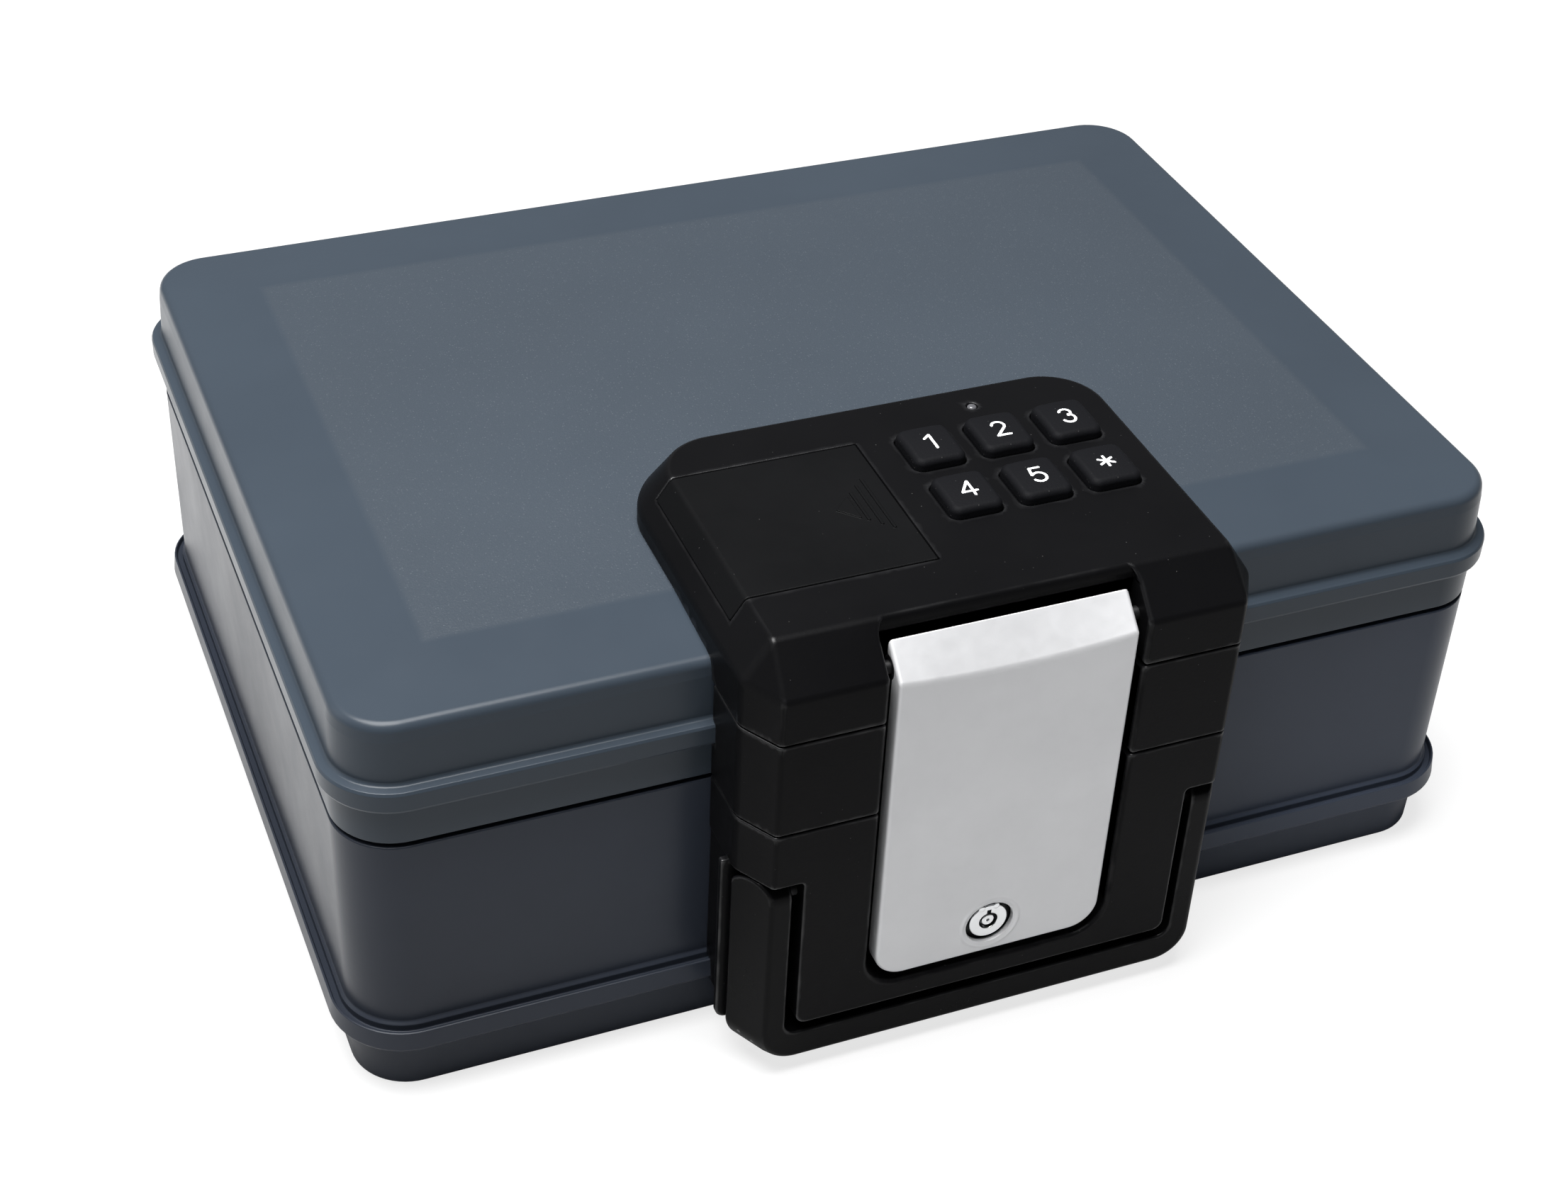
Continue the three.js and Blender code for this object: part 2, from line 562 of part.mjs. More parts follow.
function keypadHousing() {
  const wallSpan = [-CHANNEL.half - CHANNEL.wall, CHANNEL.half + CHANNEL.wall];
  const channelWalls = union(
    box(wallSpan, [0, CHANNEL.depth + CHANNEL.wall], [20, 70]),
    box(wallSpan, [0, POCKET.depth + 2], [20, POCKET.high + 2]));
  const bayWalls = box(bayBlock, [BAY.front - BAY.wall, BAY.back + BAY.wall], [BAY.floor - 1.8, 70]);
  const inside = cut(housingForm(HOUSING.skin, SEAM - 5), channelWalls, bayWalls);
  const pocket = box([-CHANNEL.half, CHANNEL.half], [2, POCKET.depth], [20, POCKET.high]);
  const bay = box([BAY.left, BAY.right], [BAY.front, BAY.back], [BAY.floor, 70]);
  const coverSeat = sweepY(coverOutline(GAP), [COVER.front - GAP, COVER.back + GAP]);
  const keyHoles = keyPlaces.map(([x, y]) => sweepZ(keyOutline(x, y, KEY.gap), [50, 70]));
  const ledHole = rodZ(LED.radius + 0.15, [50, 70], LED.x, LED.y, 16);
  const pinSpan = [-LATCH_PIVOT.half - 1, LATCH_PIVOT.half + 1];
  const pinHole = rodX(LATCH_PIVOT.pin + 0.02, pinSpan, LATCH_PIVOT.y, LATCH_PIVOT.z);
  const blockerHole = rodX(BLOCKER.radius + 0.3, [30, 50], BLOCKER.y, BLOCKER.z, 16);
  return cut(
    housingForm(0, SEAM + GAP), clearanceForm(lidOutside, GAP), inside, channel, pocket, bay, coverSeat,
    ...keyHoles, ledHole, pinHole, blockerHole);
}

place('keypad_housing', keypadHousing(), 'black', front);

// ---------------------------------------------------------------- battery cover and cells
function batteryCover() {
  const plate = sweepY(coverOutline(0), [COVER.front, COVER.back]);
  const y = (COVER.front + COVER.back) / 2;
  const raised = [HOUSING.top - 0.5, HOUSING.top + GRIP.rise];
  const ribs = GRIP.ribs.map(([x, half]) => box([x - 0.4, x + 0.4], [y - half, y + half], raised));
  const { arrowTip, arrowBase, arrowHalf } = GRIP;
  const arrow = sweepZ([[arrowTip, y], [arrowBase, y - arrowHalf], [arrowBase, y + arrowHalf]], raised);
  return union(plate, arrow, ...ribs);
}

function cell() {
  const { radius, length, nub, nubLength } = CELL;
  const geometry = turned([
    [0, 0], [radius - 0.5, 0], [radius, 0.5], [radius, length - 0.5], [radius - 0.5, length], [nub, length],
    [nub, length + nubLength], [0, length + nubLength],
  ], 20);
  geometry.rotateZ(-Math.PI / 2);
  return geometry;
}

place('battery_cover', batteryCover(), 'black', front);
const cellGeometry = cell();
const bayMiddle = { x: (BAY.left + BAY.right) / 2, y: (BAY.front + BAY.back) / 2 };
for (let i = 0; i < 4; i += 1) {
  const battery = place(`battery_${i + 1}`, cellGeometry, 'cell', front);
  const facing = i % 2 ? -1 : 1;
  battery.rotation.z = facing === 1 ? 0 : Math.PI;
  const start = bayMiddle.x - facing * (CELL.length + CELL.nubLength) / 2;
  battery.position.set(start, bayMiddle.y + (i - 1.5) * CELL.pitch, BAY.floor + GAP + CELL.radius);
}
for (const [side, sign] of sides) {
  const wallX = sign < 0 ? BAY.left : BAY.right;
  const inward = [wallX - sign * GAP, wallX - sign * (GAP + 0.6)];
  const xs = [Math.min(...inward), Math.max(...inward)];
  const plate = box(xs, [BAY.front + 1, BAY.back - 1], [BAY.floor + GAP, BAY.floor + 9.5]);
  place(`battery_contact_${side}`, plate, 'steel', front);
}

// ---------------------------------------------------------------- keys, key mat, board and indicator
const keyNames = ['key_1', 'key_2', 'key_3', 'key_4', 'key_5', 'key_star'];

function keyCap(x, y) {
  const size = { halfWidth: KEY.halfX, halfDepth: KEY.halfY, radius: KEY.radius };
  const levels = [
    [0, KEY.low], [0, KEY.top - 1.6], [-0.5, KEY.top - 0.6], [-1.6, KEY.top - 0.1], [-3, KEY.top],
  ];
  return loft(levels.map(([offset, z]) => ring(grown(size, offset), z))).translate([x, y, 0]);
}

keyPlaces.forEach(([x, y], i) => place(keyNames[i], keyCap(x, y), 'rubber', front));
place('keypad_mat', box(KEY_MAT.x, KEY_MAT.y, KEY_MAT.z), 'rubber', front);
place('control_board', box(BOARD.x, BOARD.y, BOARD.z), 'board', front);

const lens = turned([
  [0, 0], [LED.radius, 0], [LED.radius, LED.length - 0.8],
  [LED.radius * 0.7, LED.length - 0.2], [0, LED.length],
], 16);
lens.rotateX(Math.PI / 2);
place('led_lens', lens, 'lens', front).position.set(LED.x, LED.y, HOUSING.top + LED.proud - LED.length);

// ---------------------------------------------------------------- silver latch
const latchSection = [
  [0, LATCH.bottom - 1], [0, LATCH.bevelLow], [LATCH.bevelY, LATCH.top], [LATCH.bevelY, LATCH.top - 4.4],
  [LATCH.rim, LATCH.bevelLow - 0.6], [LATCH.rim, LATCH.bottom - 1],
];
const latchBore = rodX(LATCH_PIVOT.pin + FIT, [-50, 50], LATCH_PIVOT.y, LATCH_PIVOT.z);

function latchCover() {
  const outer = common(
    sweepX(latchSection, [-LATCH.half, LATCH.half]),
    sweepY(bucket(LATCH.half, LATCH.bottom, 80, LATCH.radius), [-1, 20]));
  const hollowSection = [
    [LATCH.skin, -80], [LATCH.skin, LATCH.bevelLow - 1], [LATCH.bevelY + 3, LATCH.top + 0.5],
    [20, LATCH.top + 0.5], [20, -80],
  ];
  const hollowFace = bucket(
    LATCH.half - LATCH.skin, LATCH.bottom + LATCH.skin, 80, LATCH.radius - LATCH.skin);
  const hollow = common(
    sweepX(hollowSection, [-LATCH.half, LATCH.half]), sweepY(hollowFace, [-1, 30]));
  const bossRoom = rodX(LATCH_PIVOT.boss + GAP, [-50, 50], LATCH_PIVOT.y, LATCH_PIVOT.z);
  return cut(outer, hollow, rodY(LOCK.hole, [-2, 5], 0, LOCK.z, 32), bossRoom);
}

function latchCarrier() {
  const inset = LATCH.skin + GAP;
  const section = [
    [inset, -80], [inset, LATCH.bevelLow - 1.6], [LATCH.rim + 1, LATCH.top - 8], [LATCH.rim + 1, -80],
  ];
  const core = common(
    sweepX(section, [-50, 50]),
    sweepY(bucket(LATCH.half - inset, LATCH.bottom + inset, 60, LATCH.radius - inset), [-1, 20]));
  const plate = sweepY(
    bucket(LATCH.half - 0.1, LATCH.bottom + 0.1, LATCH_PIVOT.z, LATCH.radius), [LATCH.rim + GAP, LATCH.back]);
  const boss = rodX(LATCH_PIVOT.boss, [-LATCH.half + 0.1, LATCH.half - 0.1], LATCH_PIVOT.y, LATCH_PIVOT.z);
  const lockHole = rodY(LOCK.barrel + 0.15, [0, 20], 0, LOCK.z, 32);
  const blockerHole = rodX(BLOCKER.radius + 0.3, [LATCH.half - 6, LATCH.half + 1], BLOCKER.y, BLOCKER.z, 16);
  return cut(union(core, plate, boss), latchBore, lockHole, blockerHole);
}

place('latch_cover', latchCover(), 'silver', front);
place('latch_carrier', latchCarrier(), 'black', front);
const latchPin = rodX(LATCH_PIVOT.pin, [-LATCH_PIVOT.half, LATCH_PIVOT.half], LATCH_PIVOT.y, LATCH_PIVOT.z);
place('latch_pin', latchPin, 'steel', front);

// ---------------------------------------------------------------- key lock
function lockCylinder() {
  const barrel = rodY(LOCK.barrel, [LOCK.face, LOCK.back], 0, LOCK.z, 32);
  const bore = rodY(LOCK.bore, [0, 20], 0, LOCK.z, 28);
  const keyway = box([-0.6, 0.6], [0, LOCK.face + 3], [LOCK.z, LOCK.z + LOCK.bore + 1.1]);
  return cut(barrel, bore, keyway);
}

function lockNut() {
  const hexagon = rodY(NUT.radius, [LATCH.back + GAP, LATCH.back + GAP + NUT.thickness], 0, LOCK.z, 6);
  return cut(hexagon, rodY(LOCK.barrel + 0.15, [0, 30], 0, LOCK.z, 32));
}

function lockPlug() {
  const post = rodY(LOCK.post, [LOCK.face + 0.3, 8], 0, LOCK.z, 28);
  const shaft = rodY(LOCK.shaft, [6, CAM.front], 0, LOCK.z, 28);
  const square = [-CAM.drive, CAM.drive];
  const drive = box(square, [CAM.front - 1, CAM.back - 0.2], square).translate([0, 0, LOCK.z]);
  return union(post, shaft, drive);
}

function lockCam() {
  const arm = box([-CAM.half, CAM.half], [CAM.front + 0.1, CAM.back], [LOCK.z, LOCK.z + CAM.reach]);
  const hub = rodY(CAM.half, [CAM.front + 0.1, CAM.back], 0, LOCK.z);
  const square = [-CAM.drive - FIT, CAM.drive + FIT];
  return cut(union(hub, arm), box(square, [0, 30], square).translate([0, 0, LOCK.z]));
}

place('lock_cylinder', lockCylinder(), 'chrome', front);
place('lock_nut', lockNut(), 'steel', front);
place('lock_plug', lockPlug(), 'chrome', front);
place('lock_cam', lockCam(), 'steel', front);
place('cam_screw', rodY(CAM.screw, [CAM.back + 0.1, CAM.back + 2], 0, LOCK.z, 16), 'steel', front);

// ---------------------------------------------------------------- blocking solenoid
function solenoidBody() {
  const { left, right } = SOLENOID;
  const body = box([left, right], [SOLENOID.front, SOLENOID.back], [SOLENOID.low, SOLENOID.high]);
  return cut(body, rodX(BLOCKER.radius + 0.2, [left - 9, right - 3], BLOCKER.y, BLOCKER.z, 16));
}

const plunger = rodX(BLOCKER.radius, [BLOCKER.tip, SOLENOID.plungerEnd], BLOCKER.y, BLOCKER.z, 16);
place('solenoid_body', solenoidBody(), 'steel', front);
place('solenoid_plunger', plunger, 'chrome', front);

// ---------------------------------------------------------------- carrying handle
function handle() {
  const outline = bucket(BLOCK.sideHalf, HANDLE.bottom, 0, HANDLE.radius);
  const opening = bucket(HANDLE.innerHalf, HANDLE.innerBottom, 10, HANDLE.innerRadius);
  const radius = (HANDLE.back - HANDLE.front) / 2;
  const side = [
    [HANDLE.front, HANDLE.bottom - 1], [HANDLE.back, HANDLE.bottom - 1],
    ...arc(HANDLE_PIVOT.y, HANDLE_PIVOT.z, radius, 0, 180),
  ];
  const plan = blockPlan(20).map(([x, y]) => [x, y + HANDLE.front]);
  const form = common(
    sweepY(outline, [0, 20]), sweepX(side, [-BLOCK.sideHalf, BLOCK.sideHalf]),
    sweepZ(plan, [HANDLE.bottom, 0]));
  const bores = sides.map(([, sign]) => rodX(
    HANDLE_PIVOT.pin + FIT, mirrored(sign, 60, HANDLE_PIVOT.outer + 0.5), HANDLE_PIVOT.y, HANDLE_PIVOT.z));
  return cut(form, sweepY(opening, [-5, 30]), ...bores);
}

place('carry_handle', handle(), 'black', front);
for (const [side, sign] of sides) {
  const xs = mirrored(sign, HANDLE_PIVOT.inner, HANDLE_PIVOT.outer);
  place(`handle_pin_${side}`, rodX(HANDLE_PIVOT.pin, xs, HANDLE_PIVOT.y, HANDLE_PIVOT.z), 'steel', front);
}

export default group;
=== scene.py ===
"""Looks of the fireproof document box: fine meshes, materials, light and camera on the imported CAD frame.

Lengths are in millimetres until a mesh is made. The shells, liners, seal and hinges are modelled about SHELL,
and the front hardware about FRONT.
"""

import json
import math
from functools import reduce

import bpy
import numpy as np
from mathutils import Matrix, Vector


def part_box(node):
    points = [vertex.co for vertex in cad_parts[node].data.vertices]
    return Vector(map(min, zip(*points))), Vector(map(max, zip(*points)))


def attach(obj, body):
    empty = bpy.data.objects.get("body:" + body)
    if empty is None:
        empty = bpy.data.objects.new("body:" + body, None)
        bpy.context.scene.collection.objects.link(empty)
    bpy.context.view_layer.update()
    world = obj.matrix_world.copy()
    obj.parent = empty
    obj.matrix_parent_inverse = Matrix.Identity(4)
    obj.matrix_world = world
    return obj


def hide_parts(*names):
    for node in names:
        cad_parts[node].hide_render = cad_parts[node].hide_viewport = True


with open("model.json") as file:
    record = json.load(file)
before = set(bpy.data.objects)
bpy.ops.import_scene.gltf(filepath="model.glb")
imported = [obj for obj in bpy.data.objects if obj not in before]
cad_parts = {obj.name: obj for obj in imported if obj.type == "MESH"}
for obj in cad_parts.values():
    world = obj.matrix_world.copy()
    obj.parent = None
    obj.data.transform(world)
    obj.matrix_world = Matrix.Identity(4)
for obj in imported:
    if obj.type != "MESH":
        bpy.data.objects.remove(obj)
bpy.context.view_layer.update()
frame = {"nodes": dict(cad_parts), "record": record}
nodes = frame["nodes"]
MM = 0.001
COARSE = 1.0


# ---------------- places read from the frame, in millimetres
def box_mm(node):
    low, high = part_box(node)
    return low / MM, high / MM


def centre_of(node):
    low, high = box_mm(node)
    return (low + high) / 2


lid_block_low, lid_block_high = box_mm("latch_lid_block")
_, base_block_high = box_mm("latch_base_block")
lid_low, lid_high = box_mm("lid_outer_shell")
PARTING = (lid_block_low.z + base_block_high.z) / 2
FRONT_Y = lid_block_low.y
MIDDLE_Y = (lid_low.y + lid_high.y) / 2
DEPTH = MIDDLE_Y - FRONT_Y  # from the front hardware's face to the middle of the shells
WALL_X, WALL_Y, WALL_R = 185.5, 133.0, 19.0  # half sizes and corner radius of the wall rectangle
SHELL = Vector((0, MIDDLE_Y, 0))
FRONT = Vector((0, FRONT_Y, PARTING))


def in_front(node):
    """Low corner, middle and high corner of a node about FRONT."""
    low, high = box_mm(node)
    return low - FRONT, (low + high) / 2 - FRONT, high - FRONT


housing_low, _, housing_high = in_front("keypad_housing")
latch_low, _, latch_high = in_front("latch_cover")
cover_low, cover_middle, cover_high = in_front("battery_cover")
handle_low, _, handle_high = in_front("carry_handle")
BLOCK_HALF, BLOCK_BACK = lid_block_high.x, lid_block_high.y - FRONT_Y
GAP = lid_block_low.z - PARTING  # half of the joint line between stacked blocks
LOCK_Z = in_front("lock_cylinder")[1].z
LATCH_PIN = in_front("latch_pin")[1]
PLUNGER = in_front("solenoid_plunger")[1]
HANDLE_PIN = in_front("handle_pin_left")[1]
HINGE_PIN = centre_of("hinge_pin_left") - SHELL
LED = in_front("led_lens")[1]
KEYS = {f"key_{mark}": in_front(f"key_{mark}")[1] for mark in ("1", "2", "3", "4", "5", "star")}


# ---------------- signed distance forms
def smax(*parts, r=0.0):
    """Common part of several solids, with its outer edges rounded."""
    top = reduce(np.maximum, parts)
    if r == 0:
        return top
    reach = reduce(np.add, [np.maximum(p + r, 0) ** 2 for p in parts])
    return np.minimum(top, -r) + np.sqrt(reach)


def smin(*parts, r=0.0):
    """Union of several solids, with its inner corners filled."""
    return -smax(*[-p for p in parts], r=r)


def cut(solid, *tools, r=0.0):
    """A solid less some tools, with the new edges rounded."""
    return smax(solid, *[-t for t in tools], r=r)


def span(v, low, high):
    return np.abs(v - (low + high) / 2) - (high - low) / 2


def slab(x, y, z, xs, ys, zs, r=0.0):
    return smax(span(x, *xs), span(y, *ys), span(z, *zs), r=r)


def rounded(u, v, half_u, half_v, radius):
    """Rounded rectangle about the origin."""
    qu, qv = np.abs(u) - half_u + radius, np.abs(v) - half_v + radius
    return np.hypot(np.maximum(qu, 0), np.maximum(qv, 0)) + np.minimum(np.maximum(qu, qv), 0) - radius


def bucket(x, z, half, bottom, radius):
    """Outline in x and z with two rounded lower corners, open at the top."""
    qx, qz = np.abs(x) - half + radius, bottom - z + radius
    return np.hypot(np.maximum(qx, 0), np.maximum(qz, 0)) + np.minimum(np.maximum(qx, qz), 0) - radius


def rod(u, v, radius):
    return np.hypot(u, v) - radius


def slope(u, v, run, rise):
    """Distance to the right of a line from the origin that goes run in u for every rise in v."""
    return (rise * u - run * v) / math.hypot(run, rise)


def stroke(u, v, points, width):
    """Line through points, drawn with a round pen."""
    lines = []
    for (u0, v0), (u1, v1) in zip(points, points[1:]):
        du, dv = u1 - u0, v1 - v0
        t = np.clip(((u - u0) * du + (v - v0) * dv) / (du * du + dv * dv), 0, 1)
        lines.append(np.hypot(u - u0 - t * du, v - v0 - t * dv))
    return reduce(np.minimum, lines) - width / 2


# ---------------- meshes
def add_object(name, data):
    item = bpy.data.objects.new(name, data)
    bpy.context.scene.collection.objects.link(item)
    return item


def new_object(name, points, faces, normals=None):
    """Mesh from points in metres and an array of triangles or quads, or a list of faces, shaded smooth."""
    mesh = bpy.data.meshes.new(name)
    if isinstance(faces, np.ndarray):
        count, sides = faces.shape
        mesh.vertices.add(len(points))
        mesh.vertices.foreach_set("co", np.asarray(points, np.float32).ravel())
        mesh.loops.add(count * sides)
        mesh.loops.foreach_set("vertex_index", faces.astype(np.int32).ravel())
        mesh.polygons.add(count)
        mesh.polygons.foreach_set("loop_start", np.arange(0, count * sides, sides, dtype=np.int32))
        mesh.update(calc_edges=True)
    else:
        mesh.from_pydata([tuple(p) for p in points], [], faces)
    mesh.validate()
    mesh.shade_smooth()
    if normals is not None:
        mesh.normals_split_custom_set_from_vertices(normals)
    return add_object(name, mesh)


def gradient(field, p, h=0.02):
    """Direction and rate of the field's growth at each point."""
    grad = np.empty_like(p)
    for k in range(3):
        step = np.zeros(3)
        step[k] = h
        ahead, behind = (p + step).T, (p - step).T
        grad[:, k] = (field(*ahead) - field(*behind)) / (2 * h)
    return grad


def settle(field, p, limit):
    """Points moved onto the field's surface, and the surface's directions there."""
    for _ in range(2):
        grad = gradient(field, p)
        size = np.maximum((grad ** 2).sum(1), 0.05)
        move = -(field(*p.T) / size)[:, None] * grad
        length = np.linalg.norm(move, axis=1, keepdims=True)
        p = p + move * np.minimum(1, limit / np.maximum(length, 1e-9))
    grad = gradient(field, p)
    return p, grad / np.maximum(np.linalg.norm(grad, axis=1, keepdims=True), 1e-9)


def skin(name, field, low, high, step, place, keep=1.0):
    """Object whose surface is where field(x, y, z) is zero, in millimetres about place."""
    step *= COARSE
    axes = [np.arange(a - 1.6 * step, b + 2.6 * step, step) for a, b in zip(low, high)]
    shape = tuple(len(a) for a in axes)
    f = field(axes[0][:, None, None], axes[1][None, :, None], axes[2][None, None, :])
    f = np.ascontiguousarray(np.broadcast_to(f, shape), dtype=np.float32)
    inside = f < 0
    cells = tuple(n - 1 for n in shape)
    spots, owners, quads = [], [], []
    for axis in range(3):
        u, v = (axis + 1) % 3, (axis + 2) % 3
        near = tuple(slice(0, -1) if k == axis else slice(None) for k in range(3))
        far = tuple(slice(1, None) if k == axis else slice(None) for k in range(3))
        crossing = inside[near] != inside[far]
        edge = np.argwhere(crossing)
        f0, f1 = f[near][crossing], f[far][crossing]
        spot = edge.astype(float)
        spot[:, axis] += f0 / (f0 - f1)
        corners = []
        for du, dv in ((0, 0), (-1, 0), (-1, -1), (0, -1)):
            cell = edge.copy()
            cell[:, u] += du
            cell[:, v] += dv
            corners.append(np.ravel_multi_index(cell.T, cells))
            spots.append(spot)
            owners.append(corners[-1])
        quad = np.stack(corners, 1)
        back = f0 > 0
        quad[back] = quad[back][:, ::-1]
        quads.append(quad)
    ids, owner = np.unique(np.concatenate(owners), return_inverse=True)
    spots = np.concatenate(spots)
    count = np.bincount(owner)
    p = np.stack([np.bincount(owner, spots[:, k]) / count for k in range(3)], 1)
    p = p * step + np.array([a[0] for a in axes])
    p, n = settle(field, p, 0.6 * step)
    faces = np.searchsorted(ids, np.concatenate(quads))
    origin = np.array(place)
    item = new_object(name, (p + origin) * MM, faces)
    if keep < 1:
        modifier = item.modifiers.new("thin", "DECIMATE")
        modifier.ratio = min(1, keep * COARSE)
        bpy.context.view_layer.update()
        thin = bpy.data.meshes.new_from_object(item.evaluated_get(bpy.context.evaluated_depsgraph_get()))
        item.modifiers.clear()
        item.data = thin
        co = np.empty(len(thin.vertices) * 3)
        thin.vertices.foreach_get("co", co)
        p, n = settle(field, co.reshape(-1, 3) / MM - origin, 0.1 * step)
        thin.vertices.foreach_set("co", ((p + origin) * MM).astype(np.float32).ravel())
    item.data.shade_smooth()
    item.data.normals_split_custom_set_from_vertices(n)
    return item


def outline(points):
    """Profile [(offset, height, corner radius)] as fine points with directions; material lies to its left."""
    spots = np.array(points, float)[:, :2]
    legs = np.diff(spots, axis=0)
    lengths = np.linalg.norm(legs, axis=1)
    legs /= lengths[:, None]
    last = len(legs) - 1
    out = []
    for i, (p, (_, _, radius)) in enumerate(zip(spots, points)):
        before, after = max(i - 1, 0), min(i, last)
        din, dout = legs[before], legs[after]
        turn = math.atan2(din[0] * dout[1] - din[1] * dout[0], float(din @ dout))
        if abs(turn) < 0.03:
            d = (din + dout) / np.linalg.norm(din + dout)
            out.append((p[0], p[1], d[1], -d[0]))
            continue
        bend = abs(math.tan(turn / 2))
        reach = min(bend * radius, 0.48 * lengths[before], 0.48 * lengths[after])
        radius = reach / bend
        centre = p - din * reach + np.array([-din[1], din[0]]) * radius * np.sign(turn)
        steps = max(2, math.ceil(abs(turn) / 0.2))
        for k in range(steps + 1):
            angle = turn * k / steps
            c, s = math.cos(angle), math.sin(angle)
            d = np.array([din[0] * c - din[1] * s, din[0] * s + din[1] * c])
            spot = centre - np.array([-d[1], d[0]]) * radius * np.sign(turn)
            out.append((spot[0], spot[1], d[1], -d[0]))
    return out


CORNER = 14


def ring(half_x, half_y, radius):
    """Rounded rectangle as points with outward directions, anticlockwise from above."""
    out = []
    for corner in range(4):
        cx = (1 if corner in (0, 3) else -1) * (half_x - radius)
        cy = (1 if corner < 2 else -1) * (half_y - radius)
        for k in range(CORNER + 1):
            a = (corner + k / CORNER) * math.pi / 2
            out.append((cx + radius * math.cos(a), cy + radius * math.sin(a), math.cos(a), math.sin(a)))
    return out


def ring_faces(rings, around, closed=False):
    """Quads between rings of points, with a cap at both ends unless the rings close on themselves."""
    faces = []
    for k in range(rings if closed else rings - 1):
        low, high = k * around, (k + 1) % rings * around
        for i in range(around):
            j = (i + 1) % around
            faces.append((low + i, low + j, high + j, high + i))
    if not closed:
        last = (rings - 1) * around
        faces.append(tuple(reversed(range(around))))
        faces.append(tuple(range(last, last + around)))
    return faces


def ring_skin(name, half_x, half_y, corner, profile, place, closed=False):
    """Surface through rings of a rounded rectangle, each offset and at a height given by the profile."""
    fine = outline(profile)
    points, normals = [], []
    for offset, z, nu, nz in fine:
        for x, y, ox, oy in ring(half_x + offset, half_y + offset, corner(offset)):
            points.append((x, y, z))
            normals.append((ox * nu, oy * nu, nz))
    faces = ring_faces(len(fine), 4 * (CORNER + 1), closed)
    return new_object(name, (np.array(points) + np.array(place)) * MM, faces, normals)


def turned(name, profile, place, direction, steps=48):
    """Turned piece: profile [(radius, distance, corner radius)] from axis to axis along a direction."""
    fine = outline(profile)
    axis = Vector(direction).normalized()
    spin = Vector((0, 0, 1)).rotation_difference(axis)
    points, normals = [], []
    for radius, z, nu, nz in fine:
        for k in range(steps):
            a = 2 * math.pi * k / steps
            c, s = math.cos(a), math.sin(a)
            points.append(tuple((spin @ Vector((radius * c, radius * s, z)) + Vector(place)) * MM))
            normals.append(tuple(spin @ Vector((nu * c, nu * s, nz))))
    return new_object(name, points, ring_faces(len(fine), steps), normals)


# ---------------- materials
class Recipe:
    """Small helper around one node tree."""

    def __init__(self, name):
        self.material = bpy.data.materials.new(name)
        self.material.use_nodes = True
        self.tree = self.material.node_tree
        self.shader = self.tree.nodes["Principled BSDF"]
        self.where = self.add("ShaderNodeTexCoord").outputs["Object"]

    def add(self, kind, **values):
        node = self.tree.nodes.new(kind)
        for key, value in values.items():
            setattr(node, key, value)
        return node

    def join(self, a, b):
        self.tree.links.new(a, b)

    def feed(self, socket, value):
        """Give a socket a number or a colour, or link it to another socket."""
        if isinstance(value, (int, float)):
            socket.default_value = value
        elif isinstance(value, tuple):
            socket.default_value = (*value, 1)
        else:
            self.join(value, socket)

    def spot(self, axis):
        """Object coordinate along one axis, in metres."""
        node = self.add("ShaderNodeSeparateXYZ")
        self.join(self.where, node.inputs[0])
        return node.outputs[axis]

    def noise(self, scale, detail=3.0, rough=0.55, stretch=None):
        node = self.add("ShaderNodeTexNoise")
        node.inputs["Scale"].default_value = scale
        node.inputs["Detail"].default_value = detail
        node.inputs["Roughness"].default_value = rough
        source = self.where
        if stretch:
            mapping = self.add("ShaderNodeMapping")
            mapping.inputs["Scale"].default_value = stretch
            self.join(source, mapping.inputs["Vector"])
            source = mapping.outputs["Vector"]
        self.join(source, node.inputs["Vector"])
        return node.outputs["Fac"]

    def speck(self, scale, size, share):
        """Round dots in a random share of the cells, each with its own strength."""
        node = self.add("ShaderNodeTexVoronoi")
        node.inputs["Scale"].default_value = scale
        self.join(self.where, node.inputs["Vector"])
        pick = self.add("ShaderNodeSeparateColor")
        self.join(node.outputs["Color"], pick.inputs[0])
        dot = self.remap(node.outputs["Distance"], size, 0)
        return self.maths("MULTIPLY", dot, self.remap(pick.outputs[0], 1 - share, 1))

    def remap(self, value, low, high, to_low=0, to_high=1):
        node = self.add("ShaderNodeMapRange")
        for key, v in zip(("From Min", "From Max", "To Min", "To Max"), (low, high, to_low, to_high)):
            node.inputs[key].default_value = v
        self.join(value, node.inputs["Value"])
        return node.outputs["Result"]

    def maths(self, kind, a, b):
        node = self.add("ShaderNodeMath", operation=kind)
        for socket, value in zip(node.inputs, (a, b)):
            self.feed(socket, value)
        return node.outputs["Value"]

    def blend_colour(self, fac, a, b):
        node = self.add("ShaderNodeMix", data_type="RGBA")
        for socket, value in zip((0, 6, 7), (fac, a, b)):
            self.feed(node.inputs[socket], value)
        return node.outputs[2]

    def bump(self, height, strength, distance, under=None):
        node = self.add("ShaderNodeBump")
        node.inputs["Strength"].default_value = strength
        node.inputs["Distance"].default_value = distance
        self.join(height, node.inputs["Height"])
        if under is not None:
            self.join(under, node.inputs["Normal"])
        return node.outputs["Normal"]

    def use(self, **values):
        names = {"colour": "Base Color", "roughness": "Roughness", "metallic": "Metallic", "normal": "Normal",
                 "specular": "Specular IOR Level", "coat": "Coat Weight",
                 "transmission": "Transmission Weight"}
        for key, value in values.items():
            self.feed(self.shader.inputs[names[key]], value)
        return self


